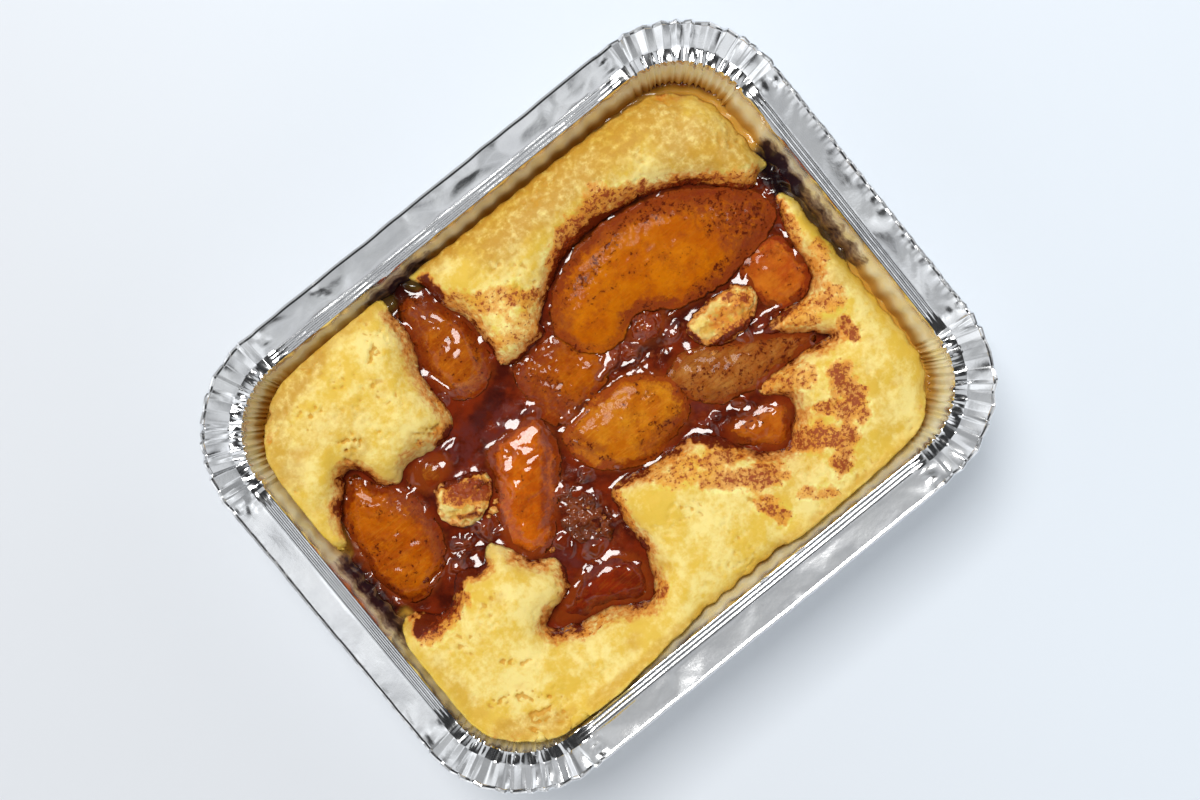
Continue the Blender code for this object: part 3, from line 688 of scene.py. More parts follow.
def fineSurface(node, look):
    places, triangles = nodeShape(node)
    tree = BVHTree.FromPolygons(places.tolist(), triangles.tolist())
    spacing = look["spacing"]
    ring, atWall, lift, moved = raggedRing(smoothRing(outlineOf(places, triangles), spacing * 0.9), look)
    lattice = latticeInside(ring[:, :2], spacing)
    faces = trianglesInside(ring[:, :2], lattice)
    nearest, away = nearestOnRing(lattice, ring[:, :2])
    edge = (ring[:, 2] - lift)[nearest]
    heights = heightsOn(tree, lattice, overFood, -1.0, edge)
    # rounds the solid's straight outermost ring, as part of a rounding that reaches further in
    width, reach = look["edgeRing"], look["edgeReach"]
    close = np.clip(away - moved[nearest], 0.05, width)
    fuller = np.sqrt(1 - (1 - np.minimum(close / reach, 1)) ** 2) / math.sqrt(1 - (1 - width / reach) ** 2)
    rise = (heights - edge) * look["flatness"] * fuller / (close / width)
    # fills out the shoulders, and follows the edge up where it is raised
    top = max(rise.max(), 0.1)
    heights = edge + top * (1 - (1 - np.minimum(rise / top, 1)) ** look["fullness"])
    heights += lift[nearest] * np.exp(-away / 2.0)
    heights = np.concatenate([ring[:, 2], heights])
    distance = np.concatenate([np.zeros(len(ring)), away])
    fixed = np.arange(len(heights)) < len(ring)
    heights = evened(heights, faces, fixed, look["smoothing"], np.clip(distance / 2.0, 0.15, 0.9))
    surface = np.column_stack([np.vstack([ring[:, :2], lattice]), heights])
    torn = np.concatenate([1 - atWall, (1 - atWall)[nearest]])
    return ring, surface, faces, distance, torn, tree


def withUnderside(ring, surface, faces, tree, spacing):
    # closes the piece with the underside of the solid, more coarsely, below the edge and clear of
    # the wall
    belowEdge, fromWall = 0.5, 0.8
    lattice = latticeInside(ring[:, :2], spacing)
    if not len(lattice):
        lattice = ring[:, :2].mean(axis=0)[None, :]
    edge = ring[nearestOnRing(lattice, ring[:, :2])[0], 2] - belowEdge
    heights = heightsOn(tree, lattice, underFood, 1.0, edge)
    wall = distanceToWall(lattice[:, 0], lattice[:, 1], heights)
    clear = heights + np.maximum(fromWall - wall, 0) * ledgeHeight / trayLook["lean"]
    heights = np.clip(clear, heights, np.maximum(heights, edge))
    around, shift = len(ring), len(surface) - len(ring)
    under = [[corner if corner < around else corner + shift for corner in reversed(face)]
             for face in trianglesInside(ring[:, :2], lattice)]
    return np.vstack([surface, np.column_stack([lattice, heights])]), faces + under, len(lattice)


def surfaceRelief(surface, distance, torn, look):
    x, y, seed = surface[:, 0], surface[:, 1], look["seed"]
    relief = sum(amount * noiseAt(surface, size, seed + size) for size, amount in look["relief"])
    if "pits" in look:
        depth, size, gather = look["pits"]
        gathered = smoothStep(0.0, 0.4, flatNoise(x, y, gather, seed + 3.0))
        relief -= depth * gathered * smoothStep(0.15, 0.5, noiseAt(surface, size, seed + 8.0))
    for x1, y1, x2, y2, radius, depth in look.get("holes", []):
        crumbly = zoneMask(x, y, [(x1, y1, x2, y2, radius * 1.8, 1.0)], seed + 9.0, 0.7)
        relief -= depth * crumbly * smoothStep(0.05, 0.35, noiseAt(surface, 1.0, seed + 16.0))
    for x1, y1, x2, y2, radius, height in look.get("grit", []):
        gritty = zoneMask(x, y, [(x1, y1, x2, y2, radius, 1.0)], seed + 10.0)
        grains = noiseAt(surface, 1.1, seed + 14.0) + 0.7 * noiseAt(surface, 0.6, seed + 15.0)
        relief += height * gritty * grains
    rough = look["tornRelief"] * torn * smoothStep(3.5, 0.2, distance)
    relief += rough * (noiseAt(surface, 1.5, seed + 12.0) + 0.6 * noiseAt(surface, 0.8, seed + 13.0))
    return relief * np.clip(0.3 + distance, 0.3, 1.0)


def foodPiece(node, look, finish):
    words = node.split("_")
    name = words[0] + "".join(word.capitalize() for word in words[1:])
    ring, surface, faces, distance, torn, tree = fineSurface(node, look)
    x, y, seed = surface[:, 0], surface[:, 1], look["seed"]
    relief = surfaceRelief(surface, distance, torn, look)
    surface = surface + normalsOf(surface, faces) * relief[:, None]
    surface[len(ring):, 2] = facingWindow(x, y, surface[:, 2], look.get("wet", []), seed + 18.0)[len(ring):]
    surfaces.append(BVHTree.FromPolygons(surface.tolist(), faces))
    places, faces, added = withUnderside(ring, surface, faces, tree, look["spacing"] * 5)
    stain, reach = look["lip"]
    plain = zoneMask(x, y, look.get("plain"), seed + 23.0)
    lip = stain * torn * smoothStep(reach, 0.1, distance) * (0.6 + 0.9 * flatNoise(x, y, 4.5, seed + 17.0))
    lip *= 1 - plain
    dusted = look["dusted"] * smoothStep(4.0, 0.6, distance) * (0.6 + 0.9 * flatNoise(x, y, 5.0, seed + 24.0))
    painted = {
        "rim": distance,
        "torn": torn * smoothStep(4.0, 0.3, distance),
        "outer": (1 - torn) * smoothStep(3.2, 0.4, distance),
        "juice": np.maximum(zoneMask(x, y, look.get("juice"), seed + 20.0), lip),
        "spice": np.maximum(zoneMask(x, y, look.get("spice"), seed + 21.0), dusted),
        "baked": zoneMask(x, y, look.get("baked"), seed + 22.0),
        "plain": plain,
        "deep": relief,
    }
    masks = {maskName: np.concatenate([values, np.zeros(added)]) for maskName, values in painted.items()}
    newPiece(name, places, faces, finish, [node], masks)
    print(name + ":", len(faces), "faces")


# Pastry

pastryLook = {
    # brown is baked browning and also the painted shadow of the wall on the top crust
    "cream": linear(255, 243, 156), "gold": linear(234, 204, 78), "brown": linear(194, 150, 50),
    "crumb": linear(252, 236, 164), "hollow": linear(206, 158, 48), "roughness": 0.6, "soft": 0.1,
    # syrup tints and soaks; spice has specks, a blotch that they melt into and a halo round it
    "stains": {"grain": 0.8, "tint": linear(212, 118, 34), "soaked": linear(104, 34, 12),
               "haloShare": 0.75, "halo": linear(234, 152, 48), "blotchShare": 0.5,
               "blotch": linear(192, 98, 30), "speck": linear(152, 60, 18)},
}


def pastryFinish():
    look = pastryLook
    finish, tree, shader = newFinish("bakedPastry")
    place = whereIs(tree)
    broad = grainAt(tree, place, 9.0, 4.0, 0.6)
    fine = grainAt(tree, place, 1.9, 4.0, 0.65)
    tiny = grainAt(tree, place, 0.5, 3.0, 0.6)
    mottle = maths(tree, 'MULTIPLY_ADD', broad, 0.62, maths(tree, 'MULTIPLY', fine, 0.38))
    colour = mixed(tree, ramp(tree, mottle, 0.41, 0.59), look["cream"], look["gold"])
    colour = mixed(tree, maths(tree, 'MULTIPLY', mask(tree, "outer"), 0.55), colour, look["gold"])
    # baked browning, and on the top crust by the wall a painted shadow of the wall
    baked = maths(tree, 'MULTIPLY', mask(tree, "baked"), ramp(tree, fine, 0.2, 0.6))
    colour = mixed(tree, maths(tree, 'MULTIPLY', baked, 0.8), colour, look["brown"])
    colour = mixed(tree, maths(tree, 'MULTIPLY', mask(tree, "torn"), 0.45), colour, look["crumb"])
    # sunken places turn darker gold: painted shade in the hollows
    sunk = ramp(tree, mask(tree, "deep"), -0.16, -0.5)
    colour = mixed(tree, maths(tree, 'MULTIPLY', sunk, 0.75), colour, look["hollow"])
    colour, soaked, specks = soiled(tree, colour, look["stains"])
    height = maths(tree, 'MULTIPLY_ADD', tiny, 0.35, maths(tree, 'MULTIPLY', fine, 0.9))
    height = maths(tree, 'MULTIPLY_ADD', specks, 0.3, height)
    fill(tree, shader, {
        "Base Color": colour, "Roughness": maths(tree, 'MULTIPLY_ADD', soaked, -0.45, look["roughness"]),
        "Normal": bumped(tree, height, 0.5, 0.4), "Specular IOR Level": 0.3,
        "Subsurface Weight": look["soft"], "Subsurface Radius": (1.0, 0.55, 0.2),
        "Subsurface Scale": 1.5 * mm,
    })
    return finish


crustForm = {
    # fineness, how ragged the edge is in the open and at the wall, how far it spreads under others
    "spacing": 0.42, "ragged": 0.6, "raggedWall": 0.12, "spread": 0.0,
    # width of the solid's outermost ring, how far in the edge is rounded, and how the top is evened
    "edgeRing": 1.19, "edgeReach": 7.5, "smoothing": 36, "flatness": 1.0, "fullness": 1.0,
    "lip": (0.85, 3.6), "dusted": 0.0, "tornRelief": 0.36, "slot": "pastry",
    "relief": [(7.0, 0.42), (3.0, 0.16), (1.3, 0.07), (0.8, 0.03)], "pits": (0.4, 1.0, 8.0),
}
crustLooks = {
    "crust_left": {
        "seed": 40.0, "pits": (0.5, 1.0, 6.0),
        "raised": [(-60, 40, -60, 16, 5, 3.0), (-56, 46, -26, 46, 5, 2.0)],
        "holes": [(-47.5, 27.5, -44, 27.2, 0.9, 1.0), (-48, 24.5, -45.5, 25, 0.8, 0.8),
                   (-40, 38.5, -36.5, 38, 0.7, 0.6), (-30.5, 38.2, -29.5, 38.6, 0.8, 0.9),
                   (-33.5, 19.4, -29.5, 18, 0.7, 0.7), (-49.5, 35.5, -46, 37.5, 0.8, 0.6),
                   (-53, 22.5, -52, 23, 0.6, 0.6)],
        "baked": [(-60, 30, -56, 40, 4, 0.7), (-56, 42, -40, 46, 4, 1.0), (-47, 24, -44, 26, 2.5, 0.6),
                  (-35, 19, -28, 16.5, 2.4, 0.8), (-40, 47, -24, 47, 2.5, 0.7),
                  (-54, 34, -42, 31, 5, 0.3)],
        "plain": [(-43, 17, -34, 15, 2.5, 0.6)],
        "juice": [(-24.4, 30, -24.6, 18, 1.1, 0.9), (-27, 16, -32, 15.2, 0.9, 0.7),
                  (-48.6, 22.5, -46, 18, 0.9, 0.35)],
        "spice": [(-26, 17, -24.6, 28, 1.6, 0.4), (-34, 18, -29, 17, 1.4, 0.35)],
    },
    "crust_top": {
        "seed": 50.0, "raised": [(-8, 46, 50, 46, 5, 1.0)],
        # its first baked zone and the last three are a painted shadow of the wall on the edge and middle; the
        # rest is browning
        "baked": [(-8, 47, 50, 47, 3.6, 1.4), (20, 33, 27, 35, 2.5, 1.0), (9, 29.5, 14, 31, 1.6, 0.9),
                  (30, 33, 33, 31, 2.0, 0.9), (48, 23, 54, 18, 2.5, 0.8), (-9, 20, 2, 21, 1.5, 0.6),
                  (56, 42, 60, 30, 3, 0.45), (4, 42, 50, 42, 7, 1.1), (48, 34, 54, 24, 8, 1.0)],
        "juice": [(1, 20.5, 9, 26.6, 1.6, 0.9), (9, 27, 14, 30, 1.8, 0.95), (14, 30, 26, 30.8, 2.0, 1.0),
                  (26, 30.6, 38, 27.8, 1.6, 0.9), (38, 27.6, 50, 19, 1.7, 0.95),
                  (50, 18, 55, 15.8, 1.3, 0.8), (-12, 44, -11.6, 39, 1.8, 0.85),
                  (-9, 19, 0, 19, 0.8, 0.8)],
        "spice": [(-9, 34, 0, 30, 3.4, 0.55), (-1, 31, 3, 27, 2.6, 0.8), (-7, 24, 1, 23, 3.5, 0.42),
                  (12, 30, 20, 33, 2.8, 0.85), (20, 32, 28, 35.5, 2.6, 0.75), (28, 33, 36, 30, 2.6, 0.8),
                  (36, 29.5, 50, 21, 2.4, 0.9), (50, 20.5, 56, 17.5, 2.6, 0.7),
                  (-12, 40, -8, 36, 2.4, 0.55)],
    },
    "crust_main": {
        "seed": 60.0,
        "raised": [(-61, -14, -61, -38, 5, 4.5), (-60, -38, -50, -47, 6, 6.0),
                   (-50, -47, -34, -47, 6, 5.5), (-34, -47, -26, -46, 6, 3.6),
                   (-27, -46, -18, -46, 6, 1.8), (17, -46, 52, -46, 5, 3.0)],
        "plain": [(-37, -8, -29, -12, 3.5, 1.0), (-28, -13, -27, -20, 3.0, 0.8)],
        "holes": [(-52, -43, -48, -41, 1.1, 1.0), (-50, -36.5, -48, -38, 0.8, 0.8),
                   (-56, -34, -52, -36, 0.8, 0.7), (-49, -28, -45, -33, 0.7, 0.6),
                   (-47, -45, -46, -47, 0.8, 0.8)],
        "baked": [(-58, -40, -46, -47, 3, 0.8), (-34, -30.5, -22, -37, 1.5, 0.9),
                  (-10.6, -17, -15, -36, 1.8, 0.8), (48, -30, 44, -44, 4, 0.2), (54, 10, 55, -12, 3, 0.6),
                  (-60, -20, -60, -34, 2, 0.4), (20, -36, 36, -36, 5, 0.35), (-6, -15.5, 10, -17, 2, 0.7),
                  (-40, -47, 50, -47, 1.6, 0.6), (-60, -10, -56, -15, 2, 0.8)],
        "juice": [(-58, -12.5, -52, -12, 2.8, 1.0), (-52, -11.5, -45, -9, 1.8, 1.0),
                  (-40.5, -9, -40.5, -10.4, 1.3, 0.95), (-26.8, -20, -28.8, -26, 0.9, 0.8),
                  (-34, -30, -16, -38, 0.9, 0.8), (-10.8, -18, -14.8, -36, 0.9, 0.8),
                  (-9, -15.6, 12, -17, 1.1, 0.7), (12, -17.5, 18, -25, 1.8, 0.85),
                  (25, -31.6, 32, -25, 1.3, 0.8), (46, -17, 34, -12, 1.6, 0.7),
                  (56, 11, 53.6, 3, 1.4, 0.75), (53, 0, 51, -7, 1.3, 0.75),
                  (47, -9.2, 37, -9.4, 1.2, 0.7)],
        "spice": [(43.6, -26, 43, -32, 3.2, 1.0), (39, -31, 42, -35, 2.8, 0.9),
                  (27, -31, 34, -35, 3.4, 0.95), (32, -41, 37, -37, 3.0, 0.9),
                  (14, -37, 16, -42, 2.2, 0.85), (22, -41, 27, -44.5, 1.8, 0.6),
                  (8, -26, 12, -29, 2.8, 0.8), (15, -31, 20, -34, 3.0, 0.9), (11, -23, 17, -26, 2.6, 0.8),
                  (36, -29, 38, -32, 1.8, 0.8), (32, -20, 38, -22, 3.2, 0.68),
                  (2, -19, 10, -24, 4.0, 0.58), (51.5, -18, 51, -22, 1.8, 0.85),
                  (44, -11, 53, -13, 3.4, 0.6), (56, 10, 54, 2, 3.0, 0.75), (58, -3, 55, -6, 2.4, 0.55),
                  (-10, -18, -12, -24, 2.6, 0.6), (-15, -39, -13, -38, 1.4, 0.8),
                  (-33, -35, -28, -35.5, 1.2, 0.5), (-58, -15, -48, -13, 2.4, 0.85),
                  (44, -17.5, 34, -17, 2.0, 0.6)],
    },
}
pastry = pastryFinish()
for node, look in crustLooks.items():
    foodPiece(node, {**crustForm, **look}, pastry)

crumbForm = {
    "spacing": 0.3, "ragged": 0.7, "raggedWall": 0.1, "spread": 0.3, "edgeRing": 0.7, "edgeReach": 3.6,
    "smoothing": 8, "flatness": 1.0, "fullness": 1.0, "tornRelief": 0.25, "lip": (0.9, 1.8),
    "dusted": 0.0, "slot": "pastry",
    "relief": [(3.0, 0.9), (1.5, 0.65), (0.8, 0.3), (0.5, 0.12)],
}
crumbLooks = {
    "crumb_left": {
        "seed": 71.0,
        "baked": [(-34, 5, -30, 2, 3.5, 1.0), (-36, 1, -34, 4, 2.2, 0.9)],
        "juice": [(-36, 8, -28, 5.6, 1.3, 0.95), (-31, 4.5, -29, 2, 1.8, 0.7),
                  (-38, 0.5, -34, -1.6, 0.9, 0.6), (-34.5, 4.5, -30.5, 2, 3.4, 0.5)],
        "spice": [(-35, 5, -30, 1.5, 3.4, 1.2)],
    },
    "crumb_right": {
        "seed": 73.0,
        "baked": [(28, -4, 36, -4.5, 2.8, 1.0), (31, 1, 34, -1, 2.2, 0.9)],
        "juice": [(27, -5.2, 37, -6, 1.2, 0.9), (25, 1.5, 25.4, -2.4, 0.7, 0.8),
                  (31, -1.5, 38, -2, 2.2, 0.4)],
        "spice": [(28, -4.5, 37, -5, 1.8, 0.7), (36, 1, 39, -2, 2.2, 0.7), (31, 0.5, 33, -1, 1.6, 0.4)],
    },
}
for node, look in crumbLooks.items():
    foodPiece(node, {**crumbForm, **look}, pastry)

# Peach


def peachFinish(name, look):
    finish, tree, shader = newFinish(name)
    place = whereIs(tree)
    broad = grainAt(tree, place, 5.0, 4.0, 0.6)
    fine = grainAt(tree, place, 1.2, 4.0, 0.65)
    along = (0, 0, math.radians(-look["fibre"]))
    drawn = {"Vector": place, "Rotation": along, "Scale": (0.16, 1.0, 1.0)}
    fibre = grainAt(tree, put(tree, 'ShaderNodeMapping', drawn).outputs[0], 0.55, 3.0, 0.6)
    colour = mixed(tree, ramp(tree, broad, 0.35, 0.65), look["flesh"], look["deeper"])
    strands = maths(tree, 'MULTIPLY', ramp(tree, fibre, 0.48, 0.66), look["strands"])
    colour = mixed(tree, strands, colour, look["strand"])
    uneven = maths(tree, 'MULTIPLY_ADD', broad, 3.0, maths(tree, 'MULTIPLY_ADD', fine, 1.6, -2.3))
    inward = maths(tree, 'MULTIPLY_ADD', uneven, look["rimReach"] * 1.2, mask(tree, "rim"))
    edged = ramp(tree, inward, look["rimReach"] * 1.3, look["rimReach"] * 0.5)
    edged = maths(tree, 'MULTIPLY', edged, maths(tree, 'SUBTRACT', 1.0, mask(tree, "plain")))
    colour = mixed(tree, maths(tree, 'MULTIPLY', edged, look["rimStrength"]), colour, look["rim"])
    patches = ramp(tree, grainAt(tree, place, 2.8, 5.0, 0.7), 0.5, 0.72)
    colour = mixed(tree, maths(tree, 'MULTIPLY', patches, look["patchy"]), colour, look["rim"])
    coat = maths(tree, 'MULTIPLY', mask(tree, "baked"), ramp(tree, fine, 0.25, 0.6))
    colour = mixed(tree, maths(tree, 'MULTIPLY', coat, 0.9), colour, look["coat"])
    colour, soaked, specks = soiled(tree, colour, look["stains"])
    height = maths(tree, 'MULTIPLY_ADD', fibre, 0.35, maths(tree, 'MULTIPLY', fine, 0.7))
    height = maths(tree, 'MULTIPLY_ADD', specks, 0.35, height)
    fill(tree, shader, {
        "Base Color": colour, "Roughness": maths(tree, 'MULTIPLY_ADD', specks, 0.25, look["roughness"]),
        "Normal": bumped(tree, height, look["bump"], 0.45), "Specular IOR Level": 0.02,
        "Coat Weight": look["gloss"], "Coat Roughness": 0.08,
        "Subsurface Weight": 0.2, "Subsurface Radius": (1.0, 0.35, 0.08), "Subsurface Scale": 2.0 * mm,
    })
    return finish


peachForm = {
    "spacing": 0.36, "ragged": 0.8, "raggedWall": 0.3, "spread": 1.3, "edgeRing": 0.91, "edgeReach": 6.0,
    "smoothing": 22, "flatness": 0.52, "fullness": 1.6, "tornRelief": 0.0, "lip": (0.0, 1.0),
    "dusted": 0.6, "slot": "peach", "relief": [(5.0, 0.34), (2.2, 0.2), (1.0, 0.07)],
    "flesh": linear(206, 116, 6), "deeper": linear(188, 94, 4), "strand": linear(222, 146, 40),
    "rim": linear(126, 38, 8), "coat": linear(130, 54, 32),
    # the strands' direction in degrees and their strength, and the stain's reach from the rim
    "fibre": 30.0, "strands": 0.2, "rimReach": 2.5, "rimStrength": 0.9, "patchy": 0.5,
    "roughness": 0.34, "gloss": 0.4, "bump": 0.8,
    "stains": {"grain": 0.8, "tint": linear(150, 64, 14), "soaked": linear(84, 20, 12), "haloShare": 0.4,
               "halo": linear(158, 72, 16), "blotchShare": 0.5, "blotch": linear(122, 44, 16),
               "speck": linear(92, 28, 12)},
}
peachLooks = {
    "peach_big": {
        "seed": 80.0, "edgeReach": 9.0, "rimReach": 2.6, "gloss": 0.07, "roughness": 0.45,
        "strands": 0.12,
        "plain": [(7, 20, 9, 10, 3.5, 0.8), (9, 10, 16, 6.5, 3.0, 0.6)],
        "fibre": 10.0, "relief": [(7.0, 0.3), (2.5, 0.12), (1.2, 0.05)], "rim": linear(140, 54, 22),
        "grit": [(48, 14, 51, 11, 5.5, 0.16), (44, 10, 50, 9, 3.5, 0.16), (8, 20, 34, 28, 1.6, 0.1)],
        "baked": [(48, 14, 51, 11, 5.5, 1.0), (44, 10, 50, 9, 3.5, 0.8), (44, 20, 50, 15, 3.0, 0.9),
                  (6, 19, 7, 22, 2.6, 0.6), (20, 28, 34, 27, 1.6, 0.6), (34, 26, 46, 20, 2.4, 0.7)],
        "spice": [(8, 22, 30, 27, 2.2, 0.55), (30, 27, 48, 18, 2.6, 0.6), (44, 15, 52, 10, 4.5, 0.6),
                  (8, 15, 20, 20, 4.0, 0.24), (24, 20, 36, 10, 5.0, 0.24), (30, 6.5, 44, 7, 1.6, 0.6)],
    },
    "peach_upper": {
        "seed": 81.0, "flesh": linear(192, 104, 16), "deeper": linear(158, 70, 8), "fibre": 75.0,
        "gloss": 0.7, "rimReach": 2.2, "strands": 0.25,
        "spice": [(-19, 24, -16, 34, 3.0, 0.3), (-13, 24, -13, 34, 2.0, 0.4)],
        "baked": [(-20, 38, -14, 40, 3.0, 0.9)], "wet": [(-15.6, 37.6, -14, 35, 0.8)],
    },
    "peach_inner": {
        "seed": 82.0, "flesh": linear(192, 100, 8), "deeper": linear(158, 68, 6), "rimReach": 2.2,
        "gloss": 0.35,
        "baked": [(-8, 14, -6, 5, 3.6, 0.9), (-3, 16, 1, 15, 2.0, 0.6)],
        "fibre": 60.0, "spread": 1.8, "plain": [(5, 17, 5, 6, 4.0, 0.9)],
        "spice": [(-7, 13, -4, 6, 3.0, 0.5)], "relief": [(4.0, 0.35), (1.8, 0.25), (0.9, 0.1)],
        "grit": [(-8, 14, -6, 5, 3.6, 0.2)],
    },
    "peach_oval": {
        "seed": 83.0, "flesh": linear(212, 134, 24), "deeper": linear(194, 106, 12), "fibre": -38.0,
        "strands": 0.45, "gloss": 0.15, "rimReach": 2.0, "spread": 1.0, "rim": linear(150, 58, 16),
        "baked": [(2, -13, 10, -12.5, 1.8, 0.7), (-8, -2, -6, -7, 1.8, 0.7)],
        "spice": [(2, -11, 12, -11, 2.4, 0.5), (-8, -3, -5, -9, 2.4, 0.45), (4, -5, 10, -4, 4.0, 0.34)],
        "wet": [(-7, 0.4, -2, 0.8, 0.6), (-9, -1.6, -8.4, -3, 0.6)],
    },
    "peach_long": {
        "seed": 84.0, "flesh": linear(184, 122, 56), "deeper": linear(160, 92, 30),
        "strand": linear(128, 64, 24), "fibre": -24.0, "strands": 0.6, "gloss": 0.16,
        "rim": linear(142, 60, 20), "rimReach": 1.4, "spread": 1.1,
        "spice": [(18, -8, 36, -14, 3.4, 0.5), (24, -15, 42, -16, 1.6, 0.6)],
    },
    "peach_small": {
        "seed": 85.0, "flesh": linear(200, 108, 22), "deeper": linear(174, 78, 12), "gloss": 0.8,
        "rimReach": 1.4, "spice": [(21, -23, 28, -24, 1.8, 0.5)], "relief": [(3.0, 0.4), (1.2, 0.15)],
        "edgeReach": 4.0,
        "wet": [(20, -21.6, 24, -22.6, 0.7), (25, -22.4, 29, -23.4, 0.7)],
    },
    "peach_red": {
        "seed": 86.0, "slot": "stained_peach", "flesh": linear(212, 118, 30),
        "deeper": linear(186, 82, 22), "gloss": 0.3, "rimReach": 1.4, "rim": linear(136, 40, 18),
        "edgeReach": 4.5,
        "spice": [(43, 3, 50, 3, 2.4, 0.4), (48, -5, 50, 0, 2.0, 0.4)],
    },
    "peach_far": {
        "seed": 87.0, "flesh": linear(200, 106, 8), "deeper": linear(176, 80, 4), "rimReach": 1.8,
        "gloss": 0.28, "fibre": 80.0, "strands": 0.25, "edgeReach": 7.0,
        "baked": [(-46, 12, -43, 4, 3.0, 0.9), (-45, 2, -46, -3, 2.4, 0.7)],
        "grit": [(-52, 19, -46, 12, 3.0, 0.25)],
        "spice": [(-56, 6, -54, -3, 3.0, 0.45), (-52, 16, -50, 10, 2.4, 0.4),
                  (-51, 4, -48, -2, 4.0, 0.34)],
        "wet": [(-51.6, 18, -50.4, 15.6, 0.9)],
    },
    "peach_centre": {
        "seed": 88.0, "flesh": linear(214, 106, 8), "deeper": linear(178, 76, 8),
        "rim": linear(120, 38, 10), "rimReach": 1.7, "rimStrength": 0.9, "gloss": 0.8, "fibre": 55.0,
        "dusted": 0.4, "fullness": 1.3, "relief": [(4.0, 0.4), (2.0, 0.25), (1.0, 0.08)],
        "spice": [(-27, -8, -22, -2, 2.0, 0.3)], "baked": [(-12.0, 3.5, -25.0, -12.5, 1.1, 0.95)],
        "wet": [(-24, 2.4, -21, 3.6, 1.2), (-18.6, 4.6, -13.6, 4.8, 1.5), (-18.4, 3, -16.6, 2.2, 1.3),
                (-18.6, 0.2, -16.8, 0.2, 0.9)],
    },
    "peach_lower": {
        "seed": 89.0, "slot": "stained_peach", "flesh": linear(144, 40, 10), "deeper": linear(108, 24, 8),
        "rim": linear(96, 24, 10), "gloss": 1.0, "strands": 0.1, "edgeReach": 4.5,
        "relief": [(3.2, 0.35), (1.6, 0.12), (0.8, 0.04)], "spice": [(-32, -28.6, -27, -29, 1.2, 0.4)],
        "wet": [(-16, -29, -14.6, -31.6, 0.7)],
    },
    "peach_bit_left": {"seed": 90.0, "flesh": linear(168, 92, 22), "deeper": linear(138, 62, 14),
                       "gloss": 0.7, "edgeReach": 3.0, "spacing": 0.3},
    "peach_bit_middle": {
        "seed": 91.0, "slot": "stained_peach", "flesh": linear(160, 60, 16),
        "deeper": linear(120, 36, 14), "gloss": 1.0, "edgeReach": 3.0, "spacing": 0.3, "spread": 0.6,
        "relief": [(2.4, 0.6), (1.2, 0.4), (0.7, 0.15)],
    },
    "crumb_soaked": {
        "seed": 92.0, "slot": "soaked_crumb", "spacing": 0.3, "ragged": 0.8, "edgeReach": 3.0,
        "spread": 0.8, "flesh": linear(124, 58, 26), "deeper": linear(84, 32, 14),
        "rim": linear(70, 24, 10), "strands": 0.0, "gloss": 0.9,
        "relief": [(3.0, 0.8), (1.4, 0.8), (0.8, 0.35)], "rimReach": 1.2,
        "spice": [(-18, -12, -15, -20, 2.4, 0.5)],
    },
}
for node, look in peachLooks.items():
    look = {**peachForm, **look}
    foodPiece(node, look, peachFinish(node.replace("_", " ") + " flesh", look))

# Syrup

